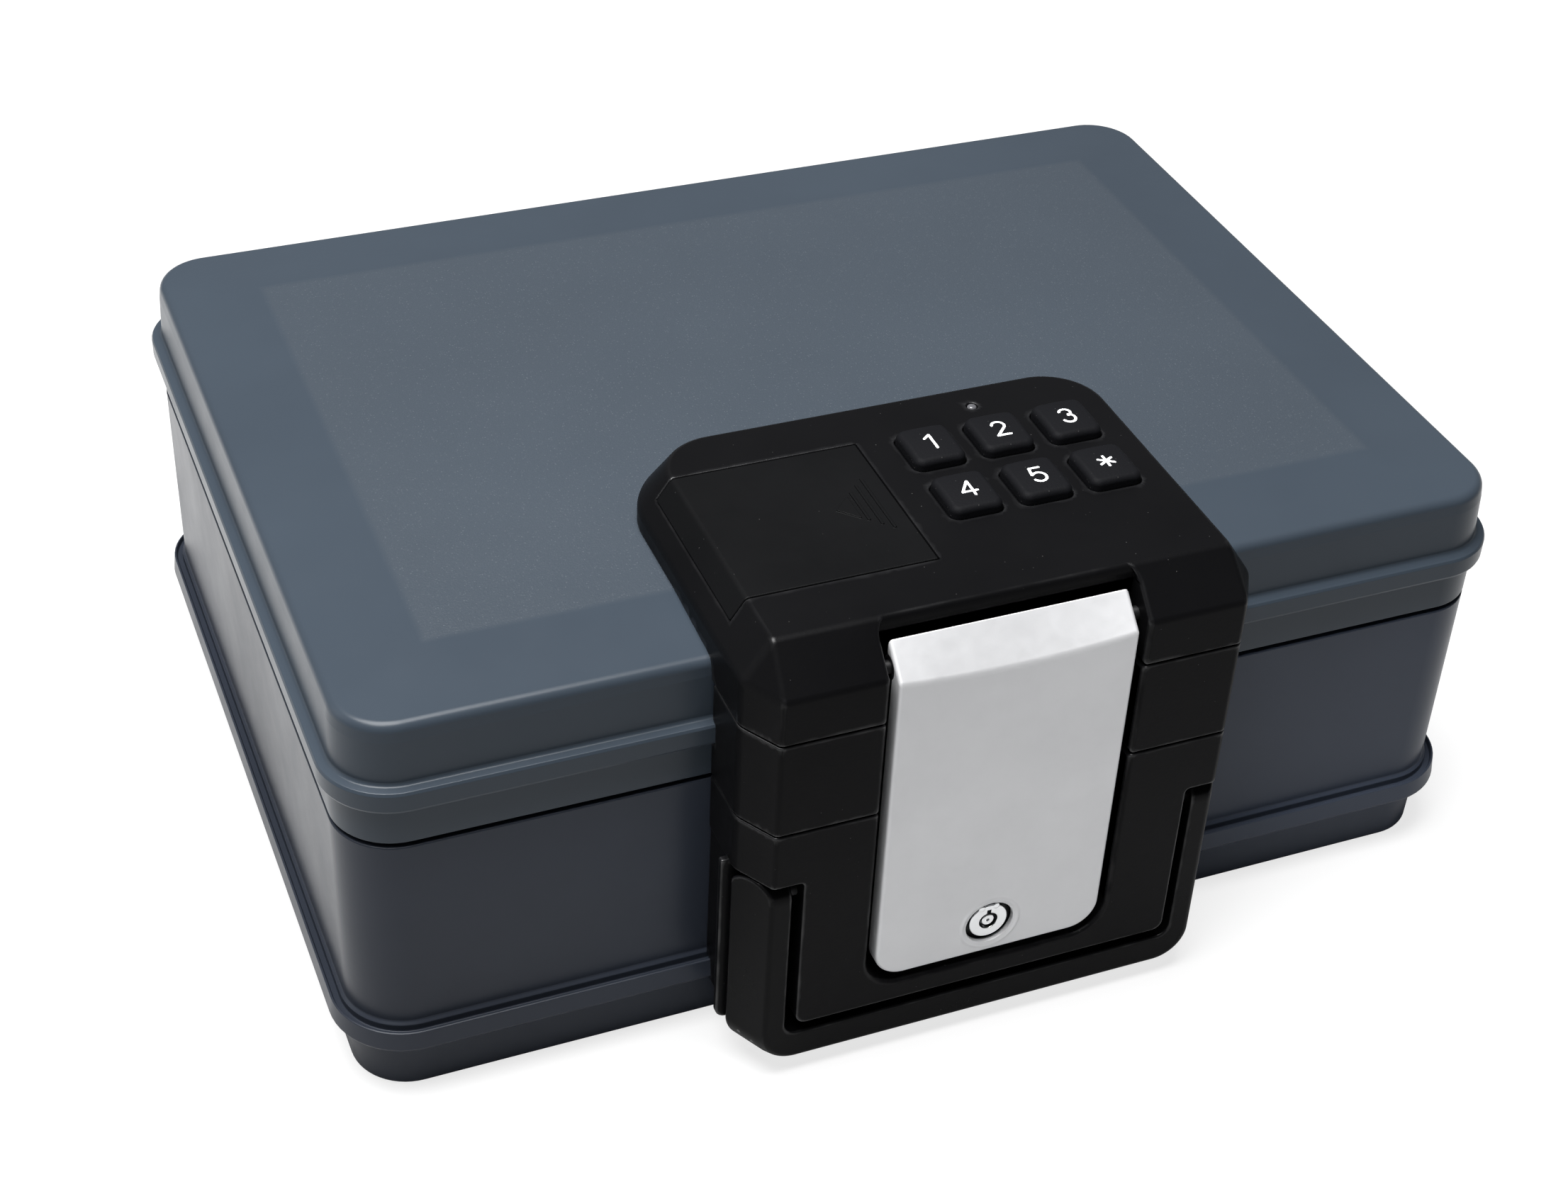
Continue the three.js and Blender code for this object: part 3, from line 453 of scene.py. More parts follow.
def plastic(name, colour, light, roughness, grain, dust=0.0, specular=0.07, edge=0.0, spread=0.05):
    """Moulded plastic: mottled colour, uneven gloss, grain (strength, scale), dust, and a painted highlight
    on convex edges.
    """
    m = Recipe(name)
    tint = m.blend_colour(m.remap(m.noise(14, 4), 0.3, 0.7), colour, light)
    if dust:
        tint = m.blend_colour(m.speck(620, 0.13, dust), tint, DUST_COLOUR)
    wear = m.noise(38, 5, 0.62)
    gloss = m.remap(wear, 0.3, 0.7, roughness - spread, roughness + spread)
    if edge:
        shape = m.add("ShaderNodeNewGeometry")
        # painted highlight: pointiness picks out convex edges, which get more specular and a lighter colour
        edge_highlight = m.remap(shape.outputs["Pointiness"], 0.512, 0.58)
        specular = m.remap(edge_highlight, 0, 1, specular, specular + edge)
        tint = m.blend_colour(m.maths("MULTIPLY", edge_highlight, 0.5), tint, (0.010, 0.010, 0.012))
    strength, scale = grain
    normal = m.bump(m.noise(scale, 2, 0.5), strength, 0.0001)
    return m.use(colour=tint, roughness=gloss, specular=specular, normal=normal)


def shell_plastic(name, colour, light, specular, panel=None):
    """Blue-grey satin plastic; the lid's middle panel is stippled, with a painted sheen and painted glints;
    the base fades sideways as painted side light.
    """
    m = Recipe(name)
    mottle = m.remap(m.noise(9, 4), 0.3, 0.7)
    if not panel:
        # painted side light: the base's colour is blended towards its light colour towards +x, for light
        # falling from the right
        across = m.remap(m.spot("X"), -0.19, 0.19)
        mottle = m.maths("ADD", m.maths("MULTIPLY", mottle, 0.3), m.maths("MULTIPLY", across, 0.7))
    tint = m.blend_colour(mottle, colour, light)
    gloss = m.remap(m.noise(30, 5, 0.6), 0.3, 0.7, 0.28, 0.35)
    normal = m.bump(m.noise(900, 2, 0.5), 0.10, 0.0001)
    if panel:
        half_x, half_y = panel
        past_x = m.maths("SUBTRACT", m.maths("ABSOLUTE", m.spot("X"), 0), half_x)
        centred = m.maths("SUBTRACT", m.spot("Y"), MIDDLE_Y * MM)
        past_y = m.maths("SUBTRACT", m.maths("ABSOLUTE", centred, 0), half_y)
        inside = m.remap(m.maths("MAXIMUM", past_x, past_y), 0.0012, -0.0012)
        on_top = m.remap(m.spot("Z"), 0.1372, 0.1376)
        mask = m.maths("MULTIPLY", inside, on_top)
        grain = m.maths("MULTIPLY", m.noise(1500, 2, 0.6), mask)
        normal = m.bump(grain, 0.55, 0.00025, normal)
        gloss = m.maths("ADD", gloss, m.remap(mask, 0, 1, 0, 0.05))
        # painted sheen: the stippled panel is lightened in colour, for the light its stipple catches
        tint = m.blend_colour(m.maths("MULTIPLY", mask, 0.35), tint, (0.052, 0.061, 0.072))
        # painted glints: bright specks over the panel stand for highlights off the stipple
        glint = m.maths("MULTIPLY", m.speck(1300, 0.35, 0.4), mask)
        tint = m.blend_colour(m.maths("MULTIPLY", glint, 0.6), tint, (0.13, 0.145, 0.16))
    return m.use(colour=tint, roughness=gloss, normal=normal, specular=specular)


def metal(name, colour, light, roughness, spread, grain, metallic=1.0, stretch=None):
    """Metal or metallic paint: mottled colour and a fine grain, drawn out where stretch is given."""
    m = Recipe(name)
    tint = m.blend_colour(m.remap(m.noise(20, 4), 0.3, 0.7), colour, light)
    gloss = m.remap(m.noise(220, 4, 0.6, stretch), 0.3, 0.7, roughness - spread, roughness + spread)
    normal = m.bump(m.noise(1400, 2, 0.5, stretch), grain, 0.0001)
    return m.use(colour=tint, roughness=gloss, metallic=metallic, normal=normal)


DUST_COLOUR = (0.09, 0.088, 0.086)
MAT = {
    "shell_lid": shell_plastic("shell_lid_plastic", (0.032, 0.042, 0.055), (0.037, 0.0485, 0.063),
                               specular=0.2, panel=(0.1525, 0.100)),
    # the base's light colour is the lit end of its painted side light
    "shell_base": shell_plastic("shell_base_plastic", (0.0215, 0.0252, 0.0340), (0.0440, 0.0540, 0.0770),
                                specular=0.15),
    # edge=0.8 on the black and handle plastics paints a highlight on their convex edges
    "black": plastic("black_plastic", (0.0033, 0.0033, 0.0037), (0.0045, 0.0045, 0.0050),
                     roughness=0.38, grain=(0.25, 900), dust=0.07, specular=0.05, edge=0.8),
    "cover": plastic("battery_cover_plastic", (0.0028, 0.0029, 0.0032), (0.0040, 0.0041, 0.0045),
                     roughness=0.47, grain=(0.3, 900), dust=0.07),
    "handle": plastic("handle_plastic", (0.0020, 0.0020, 0.0023), (0.0028, 0.0028, 0.0032),
                      roughness=0.3, grain=(0.15, 900), dust=0.05, specular=0.06, edge=0.8),
    "liner": plastic("liner_plastic", (0.020, 0.022, 0.026), (0.026, 0.028, 0.032),
                     roughness=0.52, grain=(0.2, 500), dust=0.05, spread=0.06),
    "insulation": plastic("insulation_fill", (0.50, 0.47, 0.41), (0.62, 0.59, 0.52),
                          roughness=0.9, grain=(0.8, 220)),
    "rubber": plastic("soft_rubber", (0.0036, 0.0037, 0.0046), (0.0054, 0.0056, 0.0068),
                      roughness=0.62, grain=(0.7, 1100), dust=0.3, specular=0.08),
    "board": plastic("board_lacquer", (0.012, 0.09, 0.04), (0.02, 0.12, 0.055),
                     roughness=0.35, grain=(0.3, 300)),
    "cell": plastic("cell_wrap_film", (0.05, 0.07, 0.09), (0.07, 0.09, 0.11),
                    roughness=0.28, grain=(0.05, 400)),
    "legend": plastic("legend_ink", (0.78, 0.79, 0.8), (0.86, 0.87, 0.88),
                      roughness=0.5, grain=(0.1, 700)),
    "silver": metal("silver_paint", (0.635, 0.638, 0.65), (0.69, 0.693, 0.705),
                    roughness=0.48, spread=0.05, grain=0.12, metallic=0.4),
    # painted shade: the pins are made near-black so they sit dark in the shade of their channels and gaps
    "dark_steel": metal("shade_dark_steel", (0.004, 0.004, 0.0045), (0.006, 0.006, 0.0067),
                        roughness=0.5, spread=0.06, grain=0.1, metallic=0.2),
    "steel": metal("plated_steel", (0.48, 0.49, 0.5), (0.56, 0.57, 0.58),
                   roughness=0.32, spread=0.08, grain=0.15, stretch=(1, 6, 1)),
    "chrome": metal("lock_chrome", (0.72, 0.73, 0.74), (0.8, 0.81, 0.82),
                    roughness=0.16, spread=0.05, grain=0.05, stretch=(6, 1, 6)),
}
glass = Recipe("lens_clear")
cloud = glass.remap(glass.noise(300), 0.3, 0.7)
glass.use(colour=glass.blend_colour(cloud, (0.10, 0.10, 0.11), (0.14, 0.14, 0.15)),
          roughness=glass.remap(glass.noise(500), 0.3, 0.7, 0.05, 0.12), transmission=0.3, coat=0.6)
MAT["lens"] = glass
wrap = MAT["cell"]
bare = wrap.maths("MAXIMUM", wrap.remap(wrap.spot("X"), 0.0012, 0.0011),
                  wrap.remap(wrap.spot("X"), 0.0422, 0.0423))
band = wrap.remap(wrap.spot("X"), 0.0305, 0.0306)
paint = wrap.blend_colour(band, (0.03, 0.045, 0.07), (0.35, 0.33, 0.28))
wrap.use(colour=wrap.blend_colour(bare, paint, (0.62, 0.62, 0.62)), metallic=bare)


def dress(item, look):
    item.data.materials.clear()
    item.data.materials.append(MAT[look].material)
    return item


SLOT_LOOK = {
    "shell_plastic": "shell_base", "black_plastic": "black", "liner_plastic": "liner",
    "insulation": "insulation", "rubber": "rubber", "silver_paint": "silver", "steel": "steel",
    "chrome": "chrome", "circuit_board": "board", "cell_wrap": "cell", "clear_lens": "lens",
}
slot_of = {s["node"]: s["material_slot"] for s in frame["record"]["subparts"]}
for node, item in nodes.items():
    dress(item, SLOT_LOOK[slot_of[node]])
body_of = {n: b for b, members in frame["record"]["behaviour"]["bodies"].items() for n in members}


def stand_for(item, node, look):
    """The item replaces one CAD node and moves with that node's body."""
    dress(item, look)
    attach(item, body_of[node])
    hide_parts(node)
    return item


# ---------------- shells
base_profile = [
    (-3, 0.6, 0), (-1.1, 0.6, 1.1), (-0.9, 9, 6), (-0.6, 18.6, 0.5), (3.8, 19.4, 0.7),
    (4.6, 20.6, 0.9), (3.9, 26.6, 0.3), (3.3, 26.9, 0.2), (2.9, 25.2, 0.3), (1.1, 25.2, 0.4), (1, 27.4, 0.4),
    (0, 28.2, 0.8), (0, 96.4, 0.5), (-2.6, 96.4, 0.3),
    (-2.6, 98.2, 0.4), (-5, 98.2, 0.4), (-5, 88, 1), (-3.2, 86, 1), (-3.2, 9, 3), (-5.5, 5.6, 1.5),
    (-10, 4.6, 0),
]
lid_profile = [
    (-33, 138, 0), (-8.5, 135.9, 2), (-5, 133.5, 2), (-5, 98.8, 0.4), (-2.2, 98.8, 0.3), (-2.2, 98.1, 0.2),
    (0, 98.1, 0.5), (0, 111.2, 1.4), (2.5, 111.4, 0.6), (2.8, 112.3, 0.5), (2.8, 117.6, 0.6),
    (2.3, 118.4, 0.5), (-0.6, 118.9, 1.3), (-1.3, 133.2, 0.5), (-2.0, 138.6, 4.2), (-7.5, 139.0, 1.2),
    (-33, 140.8, 0),
]


def shell_corner(offset):
    return max(WALL_R + offset, 8)


stand_for(ring_skin("base_shell", WALL_X, WALL_Y, shell_corner, base_profile, SHELL),
          "base_outer_shell", "shell_base")
stand_for(ring_skin("lid_shell", WALL_X, WALL_Y, shell_corner, lid_profile, SHELL),
          "lid_outer_shell", "shell_lid")


def wall_outline(x, y):
    """Distance to the wall rectangle in the front hardware's frame."""
    return rounded(x, y - DEPTH, WALL_X, WALL_Y, WALL_R)


def base_form(x, y, z):
    """The base's outside, for cutting the front hardware to it."""
    bulge = np.interp(z + PARTING, [9, 18.6, 19.4, 20.6, 26.2, 27, 27.2], [-0.9, -0.6, 3.8, 4.6, 3.7, 3, 0])
    return wall_outline(x, y) - bulge


def lid_form(x, y, z):
    """The lid's outside, for cutting the front hardware to it."""
    height, d = z + PARTING, wall_outline(x, y)
    bulge = np.interp(height, [111, 111.4, 112.3, 117.6, 118.4, 118.9, 134.3],
                      [0, 2.5, 2.8, 2.8, 2.3, -0.6, -1.4])
    top = np.interp(-d, [1.4, 2.1, 3.7, 6, 33], [134, 136.7, 138.2, 138.8, 140.8])
    return smax(d - bulge, height - top)


# ---------------- liners and seal
CAVITY = (151.5, 99.0)


def liner_corner(offset):
    """Corner radius of the liner: 14 at the cavity, 9.5 to 20.7 across the seal, 13.6 at the flange."""
    return float(np.interp(offset, [-11, 0, 2.2, 13, 24.2, 28.6], [3, 14, 16.2, 9.5, 20.7, 13.6]))


base_liner_profile = [
    (-2.8, 31.8, 0), (-1, 35.4, 2), (2.2, 96, 1), (28.6, 96, 0.5), (28.6, 98.2, 0.5), (19, 98.2, 0.5),
    (19, 102.5, 0.6), (16, 102.5, 0.6), (16, 98.2, 0.5), (0, 98.2, 1.6), (-3.2, 36.6, 4), (-5, 34, 1.5),
    (-12, 34, 0),
]
lid_liner_profile = [
    (-12, 109.5, 0), (-3.5, 109.5, 2.5), (-0.5, 98.8, 1.2), (13, 98.8, 0.5), (13, 106.3, 0.4),
    (22, 106.3, 0.4), (22, 98.8, 0.5), (28.6, 98.8, 0.5), (28.6, 101, 0.5), (24.2, 101, 0.5),
    (24.2, 108.5, 0.5), (2.2, 108.5, 0.5), (-1.3, 111.7, 0),
]
gasket_profile = [
    (13.3, 104.6, 0.4), (13.3, 103.6, 0.8), (14.3, 102.8, 0.8), (20.7, 102.8, 0.8), (21.7, 103.6, 0.8),
    (21.7, 104.6, 0.4), (21.7, 106, 0.3), (13.3, 106, 0.3),
]
stand_for(ring_skin("base_tray", *CAVITY, liner_corner, base_liner_profile, SHELL), "base_liner", "liner")
stand_for(ring_skin("lid_tray", *CAVITY, liner_corner, lid_liner_profile, SHELL), "lid_liner", "liner")
stand_for(ring_skin("lid_seal", *CAVITY, liner_corner, gasket_profile, SHELL, closed=True),
          "lid_gasket", "rubber")


def front_piece(name, field, low, high, step, keep, node, look):
    """Skin about FRONT in place of one CAD node."""
    return stand_for(skin(name, field, low, high, step, FRONT, keep), node, look)


# ---------------- front blocks
CHANNEL_TOP = 60.3
LATCH_HALF = latch_high.x
FACE_HALF, CHAMFER_DEPTH = 71.3, 12.6  # half width of the flat front, depth of its slanted corners


def channel(x, y, z):
    """The latch's channel, with rounded corners at both ends."""
    half = LATCH_HALF + 2.7
    low = bucket(x, z, half, latch_low.z - 3, 11)
    high = bucket(x, -z, half, -CHANNEL_TOP, 4)
    return smax(low, high, y - 12)


def chamfer(ax, y):
    """Slanted front corner of the blocks, the housing and the handle."""
    return slope(ax - FACE_HALF, y, BLOCK_HALF - FACE_HALF, CHAMFER_DEPTH)


def plan(x, y, r):
    """Block outline from above: front face, chamfers and sides."""
    ax = np.abs(x)
    return smax(-y, chamfer(ax, y), ax - BLOCK_HALF, r=r)


def lid_block(x, y, z):
    form = smax(plan(x, y, 1.0), span(z, GAP, lid_block_high.z - PARTING), y - BLOCK_BACK, r=0.45)
    form = cut(form, channel(x, y, z), r=1.5)
    return cut(form, lid_form(x, y, z) - 0.15, r=0.1)


def base_block(x, y, z):
    face = smin(-20 - z, bucket(x, z, 61.7, -77.6, 3.5), r=1.5)
    form = smax(face, plan(x, y, 1.0), z + GAP, y - BLOCK_BACK, r=0.6)
    lip_low = np.interp(np.abs(x), [70, 76], [-84.6, -82.8])
    lip = smax(bucket(x, z, base_block_high.x, lip_low, 3.5), y - 17.2, r=0.5)
    core = smax(np.abs(x) - 78.4, -80 - z, y - BLOCK_BACK, r=0.5)
    form = smin(form, smax(smin(lip, core, r=0.4), 14.9 - y, z + 18.5, r=0.5), r=0.4)
    form = cut(form, channel(x, y, z), r=1.5)
    form = cut(form, slab(x, y, z, (-22.4, 22.4), (10, 14.6), (-68.4, -38.6)), r=0.2)
    form = cut(form, slab(x, y, z, (-10.2, 10.2), (10, 24), (-68, 5)), r=0.5)
    cam_room = smax(rod(x, z - LOCK_Z, 17.3), -x - 0.2, span(y, 15.6, 24), LOCK_Z - 6 - z)
    form = cut(form, cam_room, r=0.4)
    return cut(form, base_form(x, y, z) - 0.15, r=0.1)


front_piece("lid_front_block", lid_block, (-79, 0, 0.3), (79, 32, 32.7), 0.5, 0.16,
            "latch_lid_block", "black")
front_piece("base_front_block", base_block, (-81.5, 0, -85), (81.5, 32, -0.3), 0.5, 0.14,
            "latch_base_block", "black")


# ---------------- keypad housing and battery cover
HOUSING_TOP = housing_high.z
EAVES, SIDE_RUN = 48.4, 8.6  # where the slopes start, how far the side slopes run inward
COVER_THICK = 2
KEY_HALF_X, KEY_HALF_Y = 8.35, 9.25


def housing_form(x, y, z, r):
    ax = np.abs(x)
    rise = z - EAVES
    edge = bucket(x, -y, BLOCK_HALF, -housing_high.y, 26)
    side_slope = slope(edge, rise, -SIDE_RUN, HOUSING_TOP - EAVES)
    front_slope = slope(rise, y, 1, 1)
    corner_facet = 0.7394 * (ax - FACE_HALF) - 0.4460 * y + 0.5047 * rise
    return smax(edge, side_slope, front_slope, chamfer(ax, y), corner_facet, -y, z - HOUSING_TOP, r=r)


def cover_field(x, y, z, grow):
    """Battery cover: a plate that bends down over the left slope."""
    side_slope = slope(-x - BLOCK_HALF, z - EAVES, -SIDE_RUN, HOUSING_TOP - EAVES)
    outer = smax(side_slope, z - HOUSING_TOP, r=0.9)
    inner = smax(side_slope + COVER_THICK, z - HOUSING_TOP + COVER_THICK, r=0.5)
    ends = smax(x - cover_high.x, span(y, cover_low.y, cover_high.y), cover_low.z - z)
    return smax(outer - 3 * (grow > 0), -inner - grow, ends - grow, r=0.0 if grow else 0.35)


def housing(x, y, z):
    form = smax(housing_form(x, y, z, 0.9), housing_low.z - z, r=0.45)
    form = cut(form, channel(x, y, z), r=1.5)
    form = cut(form, slab(x, y, z, (-LATCH_HALF - 2.7, LATCH_HALF + 2.7), (2, 18.2), (30, 56)), r=0.6)
    form = cut(form, cover_field(x, y, z, 0.32), r=0.3)
    form = cut(form, slab(x, y, z, (-66.3, -15), (33, 91.2), (46.4, 66)), r=0.4)
    wells = [rounded(x - key.x, y - key.y, KEY_HALF_X + 0.3, KEY_HALF_Y + 0.3, 3.3) for key in KEYS.values()]
    form = cut(form, smax(reduce(np.minimum, wells), 56 - z), r=0.35)
    form = cut(form, smax(rod(x - LED.x, y - LED.y, 1.75), 54 - z), r=0.3)
    form = cut(form, smax(rod(y - PLUNGER.y, z - PLUNGER.z, 1.5), 30 - x), r=0.2)
    return cut(form, lid_form(x, y, z) - 0.15, r=0.1)


def battery_cover(x, y, z):
    mid = cover_middle.y
    form = cover_field(x, y, z, 0)
    arrow = smax((-(x + 30.8) * 5.8 + np.abs(y - mid) * 5.6) / 8.06, x + 25.2, r=0.4)
    form = smin(form, smax(arrow, span(z, 60, 61.4), r=0.15), r=0.2)
    for rib, half in ((-23.5, 6.8), (-20.6, 9.8), (-17.9, 12.4)):
        bar = stroke(x, y, [(rib, mid - half), (rib, mid + half)], 0.9)
        form = smin(form, smax(bar, span(z, 60, 61.45), r=0.2), r=0.2)
    return form


front_piece("keypad_top_housing", housing, (-79, 0, 33.3), (79, 119, 61), 0.5, 0.14,
            "keypad_housing", "black")
front_piece("battery_door", battery_cover, (-75, 32, 54), (-12, 92.2, 61.6), 0.33, 0.22,
            "battery_cover", "cover")


# ---------------- keys and legends
KEY_LOW, KEY_TOP = in_front("key_1")[0].z, in_front("key_1")[2].z


def crown(u, v):
    """How far the key top falls away from its middle."""
    return 0.0052 * (u * u + v * v)


def key_cap(x, y, z):
    side = rounded(x, y, KEY_HALF_X, KEY_HALF_Y, 3) + np.maximum(z - HOUSING_TOP, 0) * 0.08
    return smax(side, KEY_LOW - z, z - KEY_TOP + crown(x, y), r=1.7)


def turn_points(cx, cy, radius, start, stop, steps=14):
    angles = np.radians(np.linspace(start, stop, steps))
    return [(cx + radius * math.cos(a), cy + radius * math.sin(a)) for a in angles]


LEGENDS = {
    "key_1": [[(-1.55, 1.5), (0.5, 3.1), (0.5, -3.7)]],
    "key_2": [turn_points(0, 1.2, 1.95, 165, -35) + [(-2.05, -3.7), (2.15, -3.7)]],
    "key_3": [turn_points(-0.05, 1.4, 1.75, 160, -75), turn_points(-0.05, -1.7, 2.0, 75, -160)],
    "key_4": [[(1.05, -3.7), (1.05, 3.1), (-2.25, -1.8), (2.4, -1.8)]],
    "key_5": [[(1.85, 3.1), (-1.3, 3.1), (-1.8, -0.2)] + turn_points(0.05, -1.55, 2.15, 140, -150)],
    "key_star": [[(0, -2.8), (0, 2.2)], [(-2.15, -1.55), (2.15, 0.95)], [(-2.15, 0.95), (2.15, -1.55)]],
}


def legend_field(strokes):
    def field(x, y, z):
        pen = reduce(np.minimum, [stroke(x, y, line, 0.88) for line in strokes])
        top = KEY_TOP - crown(x, y)
        return smax(pen, z - top - 0.05, top - 0.12 - z, r=0.03)
    return field


cap = skin("key_cap", key_cap, (-8.4, -9.3, 57.4), (8.4, 9.3, 64.6), 0.3, (0, 0, 0), 0.35)
for name, key in KEYS.items():
    piece = add_object(name + "_cap", cap.data)
    place = Vector((key.x, key.y, 0))
    piece.location = (place + FRONT) * MM
    stand_for(piece, name, "rubber")
    print_mark = skin(name + "_legend", legend_field(LEGENDS[name]), (-3.1, -4.4, 64.1), (3.1, 3.8, 64.8),
                      0.09, place, 0.3)
    print_mark.location = FRONT * MM
    dress(print_mark, "legend")
    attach(print_mark, name)
bpy.data.objects.remove(cap)

lens_profile = [(0.02, 54.6, 0), (1.5, 54.6, 0.1), (1.5, 60.9, 0.8), (0.02, 61.35, 0)]
lens_place = FRONT + Vector((LED.x, LED.y, 0))
stand_for(turned("indicator_dome", lens_profile, lens_place, (0, 0, 1), 32), "led_lens", "lens")


# ---------------- silver latch
LATCH_LOW, LATCH_TOP, LATCH_BACK = latch_low.z, latch_high.z, latch_high.y
SKIRT_BACK = 5.8  # depth of the latch cover's sides below its facet
WALL = 2  # thickness of the latch cover


def facet(x, y, z):
    """Sloped top facet, whose lower edge sags towards the middle."""
    low = 45.8 - 2.1 * (1 - (x / LATCH_HALF) ** 2)
    rise = (LATCH_TOP - low) / LATCH_BACK
    return (z - LATCH_TOP + (LATCH_BACK - y) * rise) / np.sqrt(1 + rise * rise)


def latch_cover(x, y, z):
    rim = bucket(x, z, LATCH_HALF, LATCH_LOW, 9.5)
    form = smax(smax(-y, facet(x, y, z), r=0.8), rim, r=1.2)
    back = y - np.clip(SKIRT_BACK + (z - 45.2) * 0.74, SKIRT_BACK, LATCH_BACK)
    form = smax(form, smax(back, z - LATCH_TOP, r=0.3), r=0.5)
    ring_bead = np.hypot(np.hypot(x, z - LOCK_Z) - 9.2, y - 0.15) - 0.45
    form = smin(form, ring_bead, r=0.6)
    inside = bucket(x, z, LATCH_HALF - WALL, LATCH_LOW + WALL, 9.5 - WALL)
    form = cut(form, smax(inside, WALL - y, facet(x, y, z) + WALL, r=0.4), r=0.3)
    form = cut(form, rod(x, z - LOCK_Z, 7.75), r=0.35)
    return cut(form, rod(y - LATCH_PIN.y, z - LATCH_PIN.z, 3.7), r=0.2)


front_piece("latch_face", latch_cover, (-37, -0.4, -67), (37, 9.8, 55), 0.4, 0.2,
            "latch_cover", "silver")


def carrier(x, y, z):
    pin = (y - LATCH_PIN.y, z - LATCH_PIN.z)
    bevel = slope(z - 44.2, y - 2.3, 1, 1)
    core = smax(bucket(x, z, 34.7, -64.7, 7.2), span(y, 2.3, 6.8), z - 44.2, bevel, r=0.4)
    plate = smax(bucket(x, z, 36.9, -66.9, 9.5), span(y, 6.1, 10.3), z - LATCH_PIN.z, r=0.8)
    boss = smax(rod(*pin, 3.4), np.abs(x) - 36.9, r=0.5)
    form = smin(core, plate, boss, r=0.4)
    form = cut(form, rod(*pin, 2.1), r=0.2)
    form = cut(form, rod(x, z - LOCK_Z, 5.85), r=0.3)
    for row in (-34, -6, 22):
        pockets = slab(np.abs(x), y, z, (4, 31), (8.2, 14), (row - 11, row + 11))
        form = cut(form, pockets, r=0.6)
    return cut(form, smax(rod(y - PLUNGER.y, z - PLUNGER.z, 1.5), 31 - x), r=0.2)


front_piece("latch_back", carrier, (-37, 2.3, -67), (37, 12.5, 51), 0.45, 0.2,
            "latch_carrier", "black")


# ---------------- key lock
def lock_body(x, y, z):
    v = z - LOCK_Z
    flange = smax(rod(x, v, 6.25), span(y, 0.9, 2.2), r=0.4)
    form = smin(flange, smax(rod(x, v, 5.7), span(y, 0.9, 14.6), r=0.5))
    form = cut(form, rod(x, v, 3.0), r=0.2)
    notch = slab(x, y, v, (-0.65, 0.65), (0, 3.9), (0, 4.3))
    form = cut(form, notch, r=0.15)
    tabs = smin(rod(x - 2.2, v - 5.6, 1.0), rod(x + 2.6, v - 5.4, 1.0))
    form = smin(form, smax(tabs, span(y, 0.75, 2.6), r=0.3), r=0.2)
    thread = smax(rod(x, v, 5.7), span(y, 8.5, 14.6))
    return smax(form, np.where(y > 8.5, thread + 0.18 * (1 + np.sin(y * 7.5)), form), r=0.0)


def lock_core(x, y, z):
    v = z - LOCK_Z
    post = smax(rod(x, v, 2.0), span(y, 1.2, 8), r=0.3)
    post = cut(post, smax(rod(x, v, 0.5), y - 1.7), r=0.1)
    shaft = smax(rod(x, v, 2.85), span(y, 6, 16.4), r=0.3)
    square = slab(x, y, v, (-1.6, 1.6), (15.4, 18.2), (-1.6, 1.6), r=0.2)
    return smin(post, shaft, square)


front_piece("lock_barrel", lock_body, (-6.4, 0.7, -61.7), (6.4, 14.6, -48.6), 0.16, 0.3,
            "lock_cylinder", "chrome")
front_piece("lock_core", lock_core, (-2.9, 1.1, -58.3), (2.9, 18.3, -52.3), 0.14, 0.3,
            "lock_plug", "chrome")


# ---------------- carrying handle
def handle(x, y, z):
    v = y - handle_low.y
    lean = (BLOCK_HALF - FACE_HALF) / CHAMFER_DEPTH
    half = np.minimum(BLOCK_HALF, FACE_HALF + np.maximum(v, 0) * lean)
    corner = np.interp(v, [0, 3, CHAMFER_DEPTH], [11, 10, 11])
    outline_form = bucket(x, z, half, handle_low.z, corner) * math.cos(math.atan(lean))
    form = smax(outline_form, -v, y - handle_high.y, r=1.2)
    round_top = rod(y - HANDLE_PIN.y, z - HANDLE_PIN.z, 7)
    form = smax(form, np.where(z > HANDLE_PIN.z, round_top, np.abs(y - HANDLE_PIN.y) - 7), r=0.9)
    form = cut(form, bucket(x, z, 64.8, -81.6, 4), r=1.0)
    bore = smax(rod(y - HANDLE_PIN.y, z - HANDLE_PIN.z, 2.6), np.abs(x) - 71.5)
    return cut(form, bore, r=0.2)


front_piece("handle_bar", handle, (-79, 0.3, -91.9), (79, 14.3, -20.6), 0.45, 0.2,
            "carry_handle", "handle")

# ---------------- small hardware
def copies(item, nodes_and_places, look, replace=True):
    """Objects that share one mesh, each standing for a CAD node or riding on the lid."""
    for name, place, turn in nodes_and_places:
        piece = add_object(name + "_fine" if replace else name, item.data)
        piece.location = Vector(place) * MM
        piece.rotation_euler = (0, 0, turn)
        if replace:
            stand_for(piece, name, look)
        else:
            dress(piece, look)
            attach(piece, "lid")
    bpy.data.objects.remove(item)


HINGE_X, HINGE_HALF = abs(centre_of("hinge_pin_left").x), 25
KNUCKLE = 4.4  # radius of the hinge knuckles
LEAF = (133.4, 136)  # depth range of both leaves about SHELL


